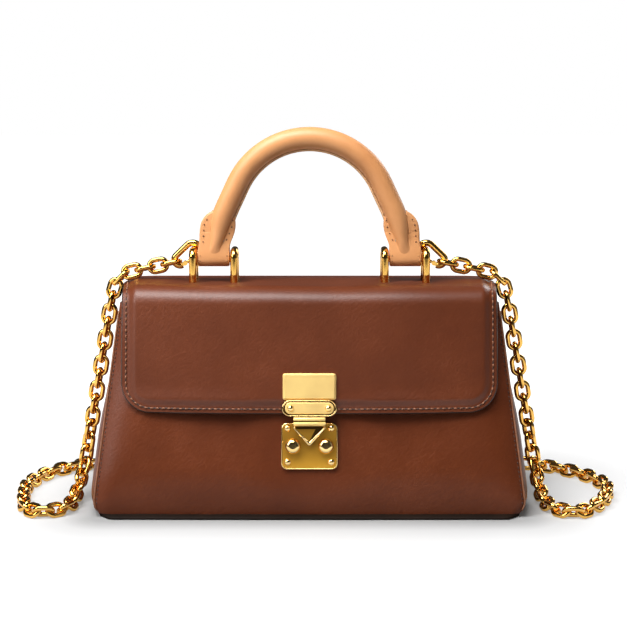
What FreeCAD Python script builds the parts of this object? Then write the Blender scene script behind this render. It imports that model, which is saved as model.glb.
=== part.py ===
import FreeCAD, Part
import math
import os
import Sketcher

V = FreeCAD.Vector
doc = FreeCAD.newDocument("chain_shoulder_bag")
sheet = doc.addObject("Spreadsheet::Sheet", "Sizes")

# Driving sizes in millimetres, angles in degrees.
SIZES = [
    # Leather body
    ("base_half_width", 122.0),
    ("rim_half_width", 108.0),
    ("base_half_depth", 50.0),
    ("rim_half_depth", 28.0),
    ("front_swell", 5.0),
    ("back_swell", 2.0),
    ("side_roll_width", 16.0),
    ("side_roll_base", 6.0),
    ("side_roll_rim", 11.0),
    ("panel_thick", 2.4),
    ("gusset_thick", 2.0),
    ("gusset_swell", 3.5),
    ("gusset_tuck", 3.0),
    ("rim_drop", 11.0),
    ("gusset_drop", 4.5),
    ("base_thick", 3.4),
    ("base_inset", 1.0),
    ("board_thick", 2.0),
    ("board_inset", 2.0),
    ("lining_thick", 0.8),
    ("lining_drop", 8.5),
    ("lining_clear", 0.3),
    # Flap
    ("top_height", 129.5),
    ("flap_thick", 2.6),
    ("flap_lining_thick", 0.8),
    ("flap_lining_inset", 2.0),
    ("flap_lining_short", 12.5),
    ("glue_line", 0.05),
    ("flap_clear", 1.2),
    ("flap_half_width", 105.5),
    ("flap_bottom", 60.2),
    ("flap_corner", 16.0),
    ("flap_wrap", 5.5),
    ("flap_roll", 12.0),
    ("fold_depth", 28.5),
    ("fold_clear", 0.5),
    # Lock on the front panel
    ("lock_height", 41.0),
    ("lock_width", 32.0),
    ("lock_tall", 26.5),
    ("lock_thick", 2.0),
    ("lock_corner", 3.5),
    ("lock_bevel", 0.6),
    ("seat_depth", 0.25),
    ("button_spacing", 18.6),
    ("button_radius", 4.4),
    ("button_proud", 4.0),
    ("button_dome", 3.0),
    ("button_flange", 0.9),
    ("button_flange_thick", 1.0),
    ("button_clear", 0.08),
    ("case_thick", 6.5),
    ("case_wall", 1.0),
    ("case_inset", 0.5),
    ("case_bore_clear", 0.4),
    ("spring_wire", 0.7),
    ("spring_inset", 0.9),
    ("spring_clear", 0.05),
    ("rivet_head", 1.95),
    ("rivet_dome", 1.1),
    ("rivet_shank", 1.0),
    ("rivet_tail", 1.6),
    ("rivet_tail_thick", 0.8),
    ("rivet_x", 12.3),
    ("rivet_up", 10.1),
    ("rivet_down", 9.0),
    ("slot_width", 3.4),
    ("slot_low", 3.1),
    ("slot_high", 11.8),
    ("stud_radius", 1.4),
    ("stud_up", 8.0),
    ("stud_reach", 1.6),
    ("catch_thick", 0.5),
    ("catch_clear", 0.15),
    ("catch_deep", 1.8),
    # Hasp on the flap
    ("capsule_width", 31.0),
    ("capsule_tall", 9.0),
    ("capsule_thick", 1.8),
    ("capsule_up", 21.4),
    ("bar_width", 27.4),
    ("bar_tall", 6.6),
    ("bar_thick", 1.7),
    ("bar_sink", 0.8),
    ("bar_groove", 0.7),
    ("screw_spacing", 21.2),
    ("screw_head", 1.9),
    ("screw_dome", 1.2),
    ("screw_shank", 1.0),
    ("upper_width", 30.0),
    ("upper_tall", 15.0),
    ("upper_thick", 2.2),
    ("upper_bevel", 1.0),
    ("upper_corner", 1.4),
    ("plate_gap", 0.15),
    ("prong_spacing", 18.0),
    ("prong_radius", 0.9),
    ("backing_thick", 0.7),
    ("backing_width", 26.0),
    ("barrel_radius", 2.3),
    ("barrel_length", 18.0),
    ("barrel_up", 14.0),
    ("barrel_out", 5.1),
    ("knuckle_length", 2.7),
    ("knuckle_clear", 0.15),
    ("hinge_pin_radius", 0.9),
    ("hinge_pin_clear", 0.06),
    ("tongue_half_width", 9.0),
    ("tongue_thick", 1.9),
    ("tongue_clear", 0.4),
    ("tongue_top", 11.2),
    ("tongue_shoulder", 10.0),
    ("tongue_tip", 0.5),
    ("tongue_tip_half", 0.7),
    ("tongue_rim", 1.6),
    ("tongue_sink", 1.2),
    # Staples, pins and handle
    ("staple_in", 43.7),
    ("staple_out", 67.6),
    ("staple_height", 19.0),
    ("staple_radius", 2.3),
    ("staple_half_depth", 7.2),
    ("staple_bend", 3.5),
    ("collar_radius", 3.2),
    ("collar_thick", 1.0),
    ("tenon_radius", 1.6),
    ("tenon_end", 0.4),
    ("staple_plate_thick", 1.2),
    ("staple_plate_margin", 4.5),
    ("nut_flat", 3.0),
    ("nut_thick", 2.0),
    ("pin_radius", 2.0),
    ("pin_back", -2.7),
    ("pin_head", 2.8),
    ("pin_head_thick", 1.1),
    ("pin_head_gap", 0.3),
    ("handle_rise", 76.3),
    ("grip_radius", 6.6),
    ("core_radius", 4.6),
    ("handle_bend", 46.0),
    ("handle_flare", 25.0),
    ("handle_leg", 14.0),
    ("handle_ease", 60.0),
    ("handle_splay", 12.0),
    ("grip_end_rise", 10.6),
    ("tab_centre", 55.65),
    ("tab_half_width", 9.2),
    ("tab_thick", 4.0),
    ("sleeve_thick", 1.2),
    ("fold_leather", 2.4),
    ("fold_bore_clear", 0.08),
    ("wing_start_rise", 6.6),
    ("wing_rise", 18.1),
    ("wing_top_rise", 27.6),
    ("wing_in", 43.6),
    ("wing_out", 64.2),
    ("wing_top_in", 45.0),
    ("wing_top_out", 55.0),
    # Clips and chain
    ("clip_wire", 1.2),
    ("clip_bend", 4.4),
    ("clip_tail", 3.0),
    ("clip_reach", 9.2),
    ("clip_clear", 0.15),
    ("clip_slope", 35.0),
    ("clip_back", 3.3),
    ("gate_wire", 1.05),
    ("gate_gap", 0.35),
    ("gate_eye", 1.35),
    ("gate_eye_thick", 1.4),
    ("gate_cheek_thick", 0.65),
    ("gate_cheek_clear", 0.1),
    ("gate_pin", 0.5),
    ("gate_pin_clear", 0.06),
    ("gate_set", 1.9),
    ("link_length", 12.5),
    ("link_width", 9.6),
    ("link_wire", 2.3),
    ("link_slack", 0.45),
    ("chain_floor_clear", 0.05),
]
for row, (alias, value) in enumerate(SIZES, start=1):
    sheet.set("A%d" % row, alias)
    sheet.set("B%d" % row, str(value))
    sheet.setAlias("B%d" % row, alias)
doc.recompute()


class Sheet:
    def __getattr__(self, alias):
        return float(sheet.get(alias))


S = Sheet()
UP = V(0, 0, 1)
ALONG_X = V(1, 0, 0)
ALONG_Y = V(0, 1, 0)
rim_height = S.top_height - S.rim_drop
gusset_height = rim_height - S.gusset_drop
lining_height = rim_height - S.lining_drop

def feature(label, shape):
    obj = doc.addObject("Part::Feature", label)
    obj.Label = label
    obj.Shape = shape
    obj.Placement = shape.Placement
    return obj


def arc(a, b, c):
    return Part.Arc(a, b, c).toShape()


def line(a, b):
    return Part.LineSegment(a, b).toShape()


def polygon(points):
    return Part.makePolygon(list(points) + [points[0]])


def plate(points, direction):
    return Part.Face(polygon(points)).extrude(direction)


def rod(a, b, radius):
    return Part.makeCylinder(radius, (b - a).Length, a, b - a)


def fused(shapes):
    return shapes[0].multiFuse(shapes[1:]).removeSplitter()


# Plan of the leather walls at one height, as numbers that change evenly with height.
def share_at(height):
    return (height - S.base_thick) / (rim_height - S.base_thick)


def even(low, high, height):
    return low + (high - low) * share_at(height)


def plan_at(height, inward=0.0):
    plan = {}
    plan["half"] = even(S.base_half_width, S.rim_half_width, height) - inward
    plan["deep"] = even(S.base_half_depth, S.rim_half_depth, height) - inward
    plan["turn"] = even(S.side_roll_base, S.side_roll_rim, height) - inward
    plan["side"] = even(S.gusset_swell, -S.gusset_tuck, height)
    return plan


def turn_middle(end, tangent, far):
    normal = V(-tangent.y, tangent.x, 0)
    reach = far - end
    if normal.dot(reach) < 0:
        normal = normal * -1
    radius = reach.Length * reach.Length / (2 * normal.dot(reach))
    centre = end + normal * radius
    half_way = (end - centre) + (far - centre)
    half_way.normalize()
    return centre + half_way * radius


def wall_edges(plan, swell, facing, height):
    """The three arcs of a front (facing -1) or back (facing 1) wall, from -X to +X."""
    half, deep, turn = plan["half"], plan["deep"], plan["turn"]
    flat = half - S.side_roll_width
    radius = (flat * flat + swell * swell) / (2 * swell)
    tangent = V(radius - swell, facing * -flat, 0)
    tangent.normalize()
    seam = V(half, facing * (deep - turn), 0)
    corner = V(flat, facing * deep, 0)
    middle = turn_middle(corner, tangent, seam)
    lift = V(0, 0, height)
    mirrored = [V(-p.x, p.y, 0) for p in (seam, middle, corner)]
    left = arc(mirrored[0] + lift, mirrored[1] + lift, mirrored[2] + lift)
    centre = arc(mirrored[2] + lift, V(0, facing * (deep + swell), height), corner + lift)
    right = arc(corner + lift, middle + lift, seam + lift)
    return [left, centre, right]


def seam_point(plan, side, facing, height):
    return V(side * plan["half"], facing * (plan["deep"] - plan["turn"]), height)


def wall(swell, facing, top):
    """A leather wall between the base and its top edge, with both thicknesses of its ends."""
    rings = []
    for height in (S.base_thick, top):
        outer = plan_at(height)
        inner = plan_at(height, S.panel_thick)
        edges = wall_edges(outer, swell, facing, height) + wall_edges(inner, swell, facing, height)
        for side in (-1, 1):
            edges.append(line(seam_point(outer, side, facing, height), seam_point(inner, side, facing, height)))
        rings.append(Part.Wire(Part.__sortEdges__(edges)))
    return Part.makeLoft(rings, True, True)


def gusset(side):
    rings = []
    for height in (S.base_thick, gusset_height):
        plan = plan_at(height)
        swell = plan["half"] + plan["side"]
        front = seam_point(plan, side, -1, height)
        back = seam_point(plan, side, 1, height)
        inset = V(-side * S.gusset_thick, 0, 0)
        middle = V(side * swell, 0, height)
        edges = [
            arc(front, middle, back),
            line(back, back + inset),
            arc(back + inset, middle + inset, front + inset),
            line(front + inset, front),
        ]
        rings.append(Part.Wire(edges))
    return Part.makeLoft(rings, True, True)


def ring_at(height, inward, side_inward):
    """The closed outline of all four walls at one height."""
    plan = plan_at(height, inward)
    edges = wall_edges(plan, S.front_swell, -1, height) + wall_edges(plan, S.back_swell, 1, height)
    reach = even(S.base_half_width, S.rim_half_width, height) + plan["side"] - side_inward
    for side in (-1, 1):
        front = seam_point(plan, side, -1, height)
        back = seam_point(plan, side, 1, height)
        edges.append(arc(front, V(side * reach, 0, height), back))
    return Part.Wire(Part.__sortEdges__(edges))


# Local frame of the lock: X across, Z up along the leaning front, -Y out of the leather.
lean = math.atan2(S.base_half_depth - S.rim_half_depth, rim_height - S.base_thick)
front_centre = even(S.base_half_depth, S.rim_half_depth, S.lock_height) + S.front_swell
LOCK = FreeCAD.Placement(
    V(0, -front_centre, S.lock_height),
    FreeCAD.Rotation(ALONG_X, -math.degrees(lean)),
)
flap_inner = S.flap_clear
flap_leather = flap_inner + S.flap_lining_thick + S.glue_line
flap_outer = flap_leather + S.flap_thick
hinge_height = S.top_height - S.flap_thick / 2
back_top = S.top_height - S.flap_thick - S.fold_clear
plate_face = S.lock_thick - S.seat_depth
flap_face = flap_outer - S.seat_depth


def local(x, up, out):
    return V(x, -out, up)


def placed(shape):
    moved = shape.copy()
    moved.Placement = LOCK.multiply(moved.Placement)
    return moved


# A sheet size with its expression, so that a sketch is drawn at its size and bound to the sheet.
class Term:
    def __init__(self, value, text):
        self.value = value
        self.text = text

    def join(self, other, sign, result):
        text = other.text if isinstance(other, Term) else str(other)
        return Term(result, "(%s %s %s)" % (self.text, sign, text))

    def __add__(self, other):
        return self.join(other, "+", self.value + other.value)

    def __sub__(self, other):
        return self.join(other, "-", self.value - other.value)

    def __truediv__(self, count):
        return self.join(count, "/", self.value / count)

    def __neg__(self):
        return Term(-self.value, "(0 - %s)" % self.text)


def term(alias):
    return Term(float(sheet.get(alias)), "Sizes." + alias)


ZERO = Term(0.0, "0")


def body(label, placement=None):
    made = doc.addObject("PartDesign::Body", label)
    made.Label = label
    if placement:
        made.Placement = placement
    return made


def sketch_on(made, plane, offset):
    sk = made.newObject("Sketcher::SketchObject", made.Label + "_sketch")
    found = [item for item in made.Origin.OriginFeatures if item.Role == plane]
    sk.AttachmentSupport = [(found[0], "")]
    sk.MapMode = "FlatFace"
    sk.AttachmentOffset = FreeCAD.Placement(V(0, 0, offset.value), FreeCAD.Rotation())
    sk.setExpression("AttachmentOffset.Base.z", offset.text)
    return sk


def fix(sk, kind, geometry, size):
    index = sk.addConstraint(Sketcher.Constraint(kind, *geometry, size.value))
    sk.setExpression("Constraints[%d]" % index, size.text)


def rectangle(sk, width, tall, across, up):
    """A rectangle about a point of the sketch, its four sizes bound to the sheet."""
    left, right = across - width / 2, across + width / 2
    low, high = up - tall / 2, up + tall / 2
    corners = [(left, low), (right, low), (right, high), (left, high)]
    points = [V(x.value, y.value, 0) for x, y in corners]
    first = sk.GeometryCount
    for i in range(4):
        sk.addGeometry(Part.LineSegment(points[i], points[(i + 1) % 4]))
    for i in range(4):
        sk.addConstraint(Sketcher.Constraint("Coincident", first + i, 2, first + (i + 1) % 4, 1))
    for i in (0, 2):
        sk.addConstraint(Sketcher.Constraint("Horizontal", first + i))
    for i in (1, 3):
        sk.addConstraint(Sketcher.Constraint("Vertical", first + i))
    fix(sk, "DistanceX", (-1, 1, first, 1), left)
    fix(sk, "DistanceY", (-1, 1, first, 1), low)
    fix(sk, "DistanceX", (-1, 1, first + 2, 1), right)
    fix(sk, "DistanceY", (-1, 1, first + 2, 1), high)


def circle(sk, across, up, radius):
    index = sk.addGeometry(Part.Circle(V(across.value, up.value, 0), UP, radius.value))
    fix(sk, "Radius", (index,), radius)
    fix(sk, "DistanceX", (-1, 1, index, 3), across)
    fix(sk, "DistanceY", (-1, 1, index, 3), up)


def pad(made, sk, length):
    feat = made.newObject("PartDesign::Pad", made.Label + "_pad")
    feat.Profile = sk
    feat.Length = length.value
    feat.setExpression("Length", length.text)
    doc.recompute()
    return feat


def cut_through(made, sk, length):
    before = made.Shape.Volume
    feat = made.newObject("PartDesign::Pocket", made.Label + "_pocket")
    feat.Profile = sk
    feat.Length = length.value
    feat.setExpression("Length", length.text)
    doc.recompute()
    if made.Shape.Volume >= before:
        raise RuntimeError(made.Label + ": a pocket removes nothing")
    return feat


def dress(made, kind, base, edges, size):
    names = ["Edge%d" % i for i, edge in enumerate(base.Shape.Edges, start=1) if edges(edge)]
    feat = made.newObject("PartDesign::" + kind, made.Label + "_" + kind.lower())
    feat.Base = (base, names)
    prop = "Radius" if kind == "Fillet" else "Size"
    setattr(feat, prop, size.value)
    feat.setExpression(prop, size.text)
    doc.recompute()
    return feat


def runs_deep(edge):
    """An edge along the local Y direction."""
    a, b = edge.Vertexes[0].Point, edge.Vertexes[-1].Point
    return abs(a.x - b.x) + abs(a.z - b.z) < abs(a.y - b.y) / 1000


def at_depth(depth):
    def found(edge):
        box = edge.BoundBox
        return abs(box.YMin + depth) + abs(box.YMax + depth) < abs(depth) / 1000

    return found


# Leather walls, base and lining
front = wall(S.front_swell, -1, rim_height)
back = wall(S.back_swell, 1, back_top)
feature("gusset_left", gusset(-1))
feature("gusset_right", gusset(1))
feature("back_panel", back)
base_face = Part.Face(ring_at(S.base_thick, S.base_inset, S.base_inset))
base_face.translate(V(0, 0, -S.base_thick))
feature("base_panel", base_face.extrude(V(0, 0, S.base_thick)))
board_in = S.panel_thick + S.board_inset
board_face = Part.Face(ring_at(S.base_thick, board_in, board_in))
feature("base_board", board_face.extrude(V(0, 0, S.board_thick)))
board_top = S.base_thick + S.board_thick


def bag_of_rings(low, inward, side_inward):
    rings = [ring_at(height, inward, side_inward) for height in (low, lining_height)]
    return Part.makeLoft(rings, True, True)


lining_in = S.panel_thick + S.lining_clear
lining_side = S.gusset_thick + S.lining_clear
lining = bag_of_rings(board_top, lining_in, lining_side)
hollow_in = lining_in + S.lining_thick
hollow_side = lining_side + S.lining_thick
lining = lining.cut(bag_of_rings(board_top + S.lining_thick, hollow_in, hollow_side))

# Cutting shapes of the lock, in its local frame
case_front = S.panel_thick
case_back = case_front + S.case_thick
case_width = S.lock_width - S.case_inset * 2
case_tall = S.lock_tall - S.case_inset * 2
rivets_at = []
for side in (-1, 1):
    rivets_at.append((side * S.rivet_x, S.rivet_up))
    rivets_at.append((side * S.rivet_x, -S.rivet_down))


def block(width, low, high, inner, outer):
    corner = local(-width / 2, low, outer)
    return Part.makeBox(width, outer - inner, high - low, corner)


def peg(x, up, radius, inner, outer):
    return rod(local(x, up, inner), local(x, up, outer), radius)


seat = block(S.lock_width, -S.lock_tall / 2, S.lock_tall / 2, -S.seat_depth, S.lock_thick)
front_cuts = [seat]
front_cuts.append(block(case_width, -case_tall / 2, case_tall / 2, -case_back, -case_front))
slot_side = S.catch_clear + S.catch_thick + S.catch_clear
slot_inner = -case_front - S.seat_depth
opening = block(
    S.slot_width + slot_side * 2, S.slot_low - slot_side, S.slot_high + slot_side, slot_inner, S.lock_thick
)
front_cuts.append(opening)
for side in (-1, 1):
    bore = S.button_radius + S.case_bore_clear
    front_cuts.append(peg(side * S.button_spacing / 2, 0, bore, slot_inner, S.lock_thick))
for x, up in rivets_at:
    front_cuts.append(peg(x, up, S.rivet_shank, slot_inner, S.lock_thick))
front = front.cut([placed(tool) for tool in front_cuts])
feature("front_panel", front)
room = S.lining_clear + S.lining_thick
window = block(
    S.lock_width, -S.lock_tall / 2 - room, S.lock_tall / 2 + room, -case_back - room, S.lock_thick
)
lining = lining.cut(placed(window))
feature("lining", lining)

# Flap: leather and lining follow one profile from the fold at the back to the lower edge.
flap_width = S.flap_half_width * 2


def flap_profile(across_share, outer, inner, back_gap):
    """A closed profile at one place across, between two depths below the outer face."""
    x = across_share * S.flap_half_width
    beyond = max(0.0, abs(across_share) - LEVEL_SHARE) / (1.0 - LEVEL_SHARE)
    give = S.flap_wrap * beyond * beyond
    slope_up = V(0, math.sin(lean), math.cos(lean))
    out = V(0, -math.cos(lean), math.sin(lean))
    start = LOCK.Base + V(x, give, 0)
    low = start + slope_up * ((S.flap_bottom - S.lock_height) / math.cos(lean) - S.flap_thick)

    def face(depth):
        top = S.top_height - depth
        radius = S.flap_roll - depth
        at = low + out * (flap_outer - depth)
        rise = (top - radius * (1 - math.sin(lean)) - at.z) / math.cos(lean)
        bend = at + slope_up * rise
        centre = bend - out * radius
        turned = centre + V(0, 0, radius)
        half_way = out + UP
        half_way.normalize()
        end = V(x, S.fold_depth - back_gap, top)
        return at, bend, centre + half_way * radius, turned, end

    a = face(outer)
    b = face(inner)
    edges = [line(a[0], a[1]), arc(a[1], a[2], a[3]), line(a[3], a[4])]
    if back_gap:
        edges.append(line(a[4], b[4]))
    else:
        middle = V(x, S.fold_depth + S.flap_thick / 2, hinge_height)
        edges.append(arc(a[4], middle, b[4]))
    edges += [line(b[4], b[3]), arc(b[3], b[2], b[1]), line(b[1], b[0]), line(b[0], a[0])]
    return Part.Wire(edges)


STATION_SHARES = (-1.0, -0.85, -0.7, -0.55, -0.38, -0.2, 0.2, 0.38, 0.55, 0.7, 0.85, 1.0)
LEVEL_SHARE = 0.2


def flap_sheet(outer, inner, back_gap, inset):
    profiles = [flap_profile(share, outer, inner, back_gap) for share in STATION_SHARES]
    sheet_shape = Part.makeLoft(profiles, True, True)
    half = S.flap_half_width - inset
    low = S.flap_bottom + inset
    round_off = S.flap_corner - inset
    high = S.top_height + S.flap_roll
    deep = -S.base_half_depth * 2
    bow = round_off * (1 - math.sqrt(0.5))
    left = [V(-half, deep, low + round_off), V(-half + bow, deep, low + bow), V(-half + round_off, deep, low)]
    right = [V(-p.x, p.y, p.z) for p in reversed(left)]
    edges = [
        arc(*left),
        line(left[2], right[0]),
        arc(*right),
        line(right[2], V(half, deep, high)),
        line(V(half, deep, high), V(-half, deep, high)),
        line(V(-half, deep, high), left[0]),
    ]
    outline = Part.Face(Part.Wire(edges)).extrude(V(0, S.base_half_depth * 4, 0))
    return sheet_shape.common(outline)


flap = flap_sheet(0.0, S.flap_thick, 0.0, 0.0)
under = S.flap_thick + S.glue_line
flap_lining = flap_sheet(under, under + S.flap_lining_thick, S.flap_lining_short, S.flap_lining_inset)
stack = under + S.flap_lining_thick
plate_top = S.top_height - stack
plate_low = plate_top - S.staple_plate_thick
nut_low = plate_low - S.nut_thick
tenon_low = nut_low - S.tenon_end
staples_at = [(-S.staple_out, "outer", -1), (-S.staple_in, "inner", -1)]
staples_at += [(S.staple_in, "inner", 1), (S.staple_out, "outer", 1)]
feet_at = [(x, y) for x, name, side in staples_at for y in (-S.staple_half_depth, S.staple_half_depth)]
flap_cuts = []
for x, y in feet_at:
    flap_cuts.append(rod(V(x, y, plate_low), V(x, y, S.top_height + S.collar_thick), S.tenon_radius))
capsule_low = S.capsule_up - S.capsule_tall / 2
capsule_high = S.capsule_up + S.capsule_tall / 2
upper_low = capsule_high + S.plate_gap
upper_high = upper_low + S.upper_tall
upper_mid = upper_low + S.upper_tall / 2
proud = flap_outer + S.upper_thick
screws_at = [(side * S.screw_spacing / 2, S.capsule_up) for side in (-1, 1)]
prongs_at = [(side * S.prong_spacing / 2, upper_mid) for side in (-1, 1)]
hardware_cuts = [block(S.upper_width, upper_low, upper_high, flap_face, proud)]
hardware_cuts.append(block(S.capsule_width, capsule_low, capsule_high, flap_face, proud))
for x, up in screws_at:
    hardware_cuts.append(peg(x, up, S.screw_shank, 0, proud))
for x, up in prongs_at:
    hardware_cuts.append(peg(x, up, S.prong_radius, 0, proud))
flap_cuts += [placed(tool) for tool in hardware_cuts]
feature("flap", flap.cut(flap_cuts))
feature("flap_lining", flap_lining.cut(flap_cuts))

# Lock plate, case, buttons and what lies between them
lock_plate = body("lock_plate", LOCK)
sk = sketch_on(lock_plate, "XZ_Plane", -term("seat_depth"))
rectangle(sk, term("lock_width"), term("lock_tall"), ZERO, ZERO)
solid = pad(lock_plate, sk, term("lock_thick"))
solid = dress(lock_plate, "Fillet", solid, runs_deep, term("lock_corner"))
solid = dress(lock_plate, "Chamfer", solid, at_depth(plate_face), term("lock_bevel"))
sk = sketch_on(lock_plate, "XZ_Plane", term("lock_thick"))
half_spacing = term("button_spacing") / 2
hole = term("button_radius") + term("button_clear")
for side in (half_spacing, -half_spacing):
    circle(sk, side, ZERO, hole)
for side in (term("rivet_x"), -term("rivet_x")):
    circle(sk, side, term("rivet_up"), term("rivet_shank"))
    circle(sk, side, -term("rivet_down"), term("rivet_shank"))
slot_tall = term("slot_high") - term("slot_low")
slot_mid = term("slot_low") + slot_tall / 2
rectangle(sk, term("slot_width"), slot_tall, ZERO, slot_mid)
cut_through(lock_plate, sk, term("lock_thick") + term("lock_thick"))

lock_case = body("lock_case", LOCK)
case_far = term("panel_thick") + term("case_thick")
sk = sketch_on(lock_case, "XZ_Plane", -case_far)
inset_twice = term("case_inset") + term("case_inset")
rectangle(sk, term("lock_width") - inset_twice, term("lock_tall") - inset_twice, ZERO, ZERO)
pad(lock_case, sk, term("case_thick"))
sk = sketch_on(lock_case, "XZ_Plane", -term("panel_thick"))
flange = term("button_radius") + term("button_flange")
for side in (half_spacing, -half_spacing):
    circle(sk, side, ZERO, flange + term("case_bore_clear"))
cut_through(lock_case, sk, term("case_thick") - term("case_wall"))
sk = sketch_on(lock_case, "XZ_Plane", -term("panel_thick"))
for side in (term("rivet_x"), -term("rivet_x")):
    circle(sk, side, term("rivet_up"), term("rivet_shank"))
    circle(sk, side, -term("rivet_down"), term("rivet_shank"))
cut_through(lock_case, sk, term("case_thick") + term("case_thick"))

spring_room = S.case_thick - S.case_wall - S.button_flange_thick - S.button_clear
flange_back = case_front + S.button_clear + S.button_flange_thick


def coil(radius, wire, height, turns):
    """A spring of half-turn arcs about the local Y direction, in from zero."""
    rise = (height - wire - S.spring_clear * 2) / (turns * 2)
    start = wire / 2 + S.spring_clear
    edges = []
    for i in range(turns * 2):
        sign = 1 if i % 2 == 0 else -1
        a = V(sign * radius, start + rise * i, 0)
        b = V(0, start + rise * i + rise / 2, sign * radius)
        c = V(-sign * radius, start + rise * (i + 1), 0)
        edges.append(arc(a, b, c))
    path = Part.Wire(edges)
    tangent = edges[0].tangentAt(edges[0].FirstParameter)
    ring = Part.Wire(Part.makeCircle(wire / 2, V(radius, start, 0), tangent))
    return path.makePipeShell([ring], True, True)


for label, side in (("left", -1), ("right", 1)):
    button = body("lock_button_" + label, LOCK)
    across = half_spacing if side > 0 else -half_spacing
    deep = term("panel_thick") + term("button_clear") + term("button_flange_thick")
    sk = sketch_on(button, "XZ_Plane", -deep)
    circle(sk, across, ZERO, flange)
    pad(button, sk, term("button_flange_thick"))
    sk = sketch_on(button, "XZ_Plane", -(term("panel_thick") + term("button_clear")))
    circle(sk, across, ZERO, term("button_radius"))
    face_out = term("lock_thick") - term("seat_depth") + term("button_proud")
    shaft = pad(button, sk, term("panel_thick") + term("button_clear") + face_out)
    dome_at = at_depth(plate_face + S.button_proud)
    dress(button, "Fillet", shaft, dome_at, term("button_dome"))
    spring = coil(S.button_radius - S.spring_inset, S.spring_wire, spring_room, 3)
    spring.Placement = LOCK.multiply(
        FreeCAD.Placement(local(side * S.button_spacing / 2, 0, -flange_back), FreeCAD.Rotation())
    )
    feature("button_spring_" + label, spring)


def mushroom(head, dome, shank, length, tail, tail_thick):
    """A domed head on a shank along +Y from the face at zero, with an optional riveted tail."""
    rise = (head * head + dome * dome) / (2 * dome)
    angle = math.asin(head / rise) / 2
    bulge = V(rise * math.sin(angle), rise - dome - rise * math.cos(angle), 0)
    points = [V(0, -dome, 0), bulge, V(head, 0, 0)]
    edges = [arc(*points), line(points[2], V(shank, 0, 0)), line(V(shank, 0, 0), V(shank, length, 0))]
    last = V(shank, length, 0)
    if tail:
        for corner in (V(tail, length, 0), V(tail, length + tail_thick, 0)):
            edges.append(line(last, corner))
            last = corner
    foot = V(0, last.y, 0)
    edges += [line(last, foot), line(foot, points[0])]
    return Part.Face(Part.Wire(edges)).revolve(V(0, 0, 0), ALONG_Y)


rivet = mushroom(
    S.rivet_head, S.rivet_dome, S.rivet_shank, plate_face + case_back, S.rivet_tail, S.rivet_tail_thick
)
rivets = []
for x, up in rivets_at:
    one = rivet.copy()
    one.Placement = LOCK.multiply(FreeCAD.Placement(local(x, up, plate_face), FreeCAD.Rotation()))
    rivets.append(one)
feature("lock_rivets", Part.Compound(rivets))

catch_half = S.stud_radius + S.catch_clear + S.catch_thick
catch_low = S.slot_low - S.catch_thick
catch_out = -S.seat_depth
catch = block(catch_half * 2, catch_low, S.slot_high, catch_out - S.catch_deep, catch_out)
gap = block(
    (S.stud_radius + S.catch_clear) * 2, S.slot_low, S.slot_high * 2, catch_out - S.catch_deep * 2, S.lock_thick
)
feature("catch_leaf", placed(catch.cut(gap)))

# Hasp on the flap
upper = body("upper_plate", LOCK)
flap_out = term("flap_clear") + term("flap_lining_thick") + term("glue_line") + term("flap_thick")
seat_out = flap_out - term("seat_depth")
cap_high = term("capsule_up") + term("capsule_tall") / 2
upper_centre = cap_high + term("plate_gap") + term("upper_tall") / 2
sk = sketch_on(upper, "XZ_Plane", seat_out)
rectangle(sk, term("upper_width"), term("upper_tall"), ZERO, upper_centre)
solid = pad(upper, sk, term("upper_thick"))
solid = dress(upper, "Fillet", solid, runs_deep, term("upper_corner"))
solid = dress(upper, "Chamfer", solid, at_depth(flap_face + S.upper_thick), term("upper_bevel"))
sk = sketch_on(upper, "XZ_Plane", term("flap_clear") - term("backing_thick"))
half_prong = term("prong_spacing") / 2
for side in (half_prong, -half_prong):
    circle(sk, side, upper_centre, term("prong_radius"))
pad(upper, sk, seat_out - term("flap_clear") + term("backing_thick"))

backing = body("flap_backing_plate", LOCK)
sk = sketch_on(backing, "XZ_Plane", term("flap_clear") - term("backing_thick"))
backing_low = term("capsule_up") - term("capsule_tall") / 2 + term("flap_lining_inset")
backing_high = cap_high + term("plate_gap") + term("upper_tall")
backing_tall = backing_high - backing_low
rectangle(sk, term("backing_width"), backing_tall, ZERO, backing_low + backing_tall / 2)
pad(backing, sk, term("backing_thick"))
sk = sketch_on(backing, "XZ_Plane", term("flap_clear"))
half_screw = term("screw_spacing") / 2
for side in (half_screw, -half_screw):
    circle(sk, side, term("capsule_up"), term("screw_shank"))
for side in (half_prong, -half_prong):
    circle(sk, side, upper_centre, term("prong_radius"))
cut_through(backing, sk, term("backing_thick") + term("backing_thick"))

hasp_bar = body("hasp_bar", LOCK)
bar_seat = seat_out + term("capsule_thick") - term("bar_sink")
sk = sketch_on(hasp_bar, "XZ_Plane", bar_seat)
rectangle(sk, term("bar_width"), term("bar_tall"), ZERO, term("capsule_up"))
solid = pad(hasp_bar, sk, term("bar_thick"))
bar_round = term("bar_tall") / 2 - term("plate_gap")
solid = dress(hasp_bar, "Fillet", solid, runs_deep, bar_round)
bar_edge = at_depth(flap_face + S.capsule_thick - S.bar_sink + S.bar_thick)
dress(hasp_bar, "Chamfer", solid, bar_edge, term("bar_thick") / 4)
sk = sketch_on(hasp_bar, "XZ_Plane", bar_seat + term("bar_thick"))
for side in (half_screw, -half_screw):
    circle(sk, side, term("capsule_up"), term("screw_shank"))
cut_through(hasp_bar, sk, term("bar_thick") + term("bar_thick"))


def stadium(width, tall, up, inner, outer):
    """A capsule-shaped plate across the local X direction."""
    radius = tall / 2
    flat = width - tall
    ends = [peg(side * flat / 2, up, radius, inner, outer) for side in (-1, 1)]
    return fused([block(flat, up - radius, up + radius, inner, outer)] + ends)


def barrel(low, high, radius):
    return rod(local(low, S.barrel_up, S.barrel_out), local(high, S.barrel_up, S.barrel_out), radius)


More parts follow.
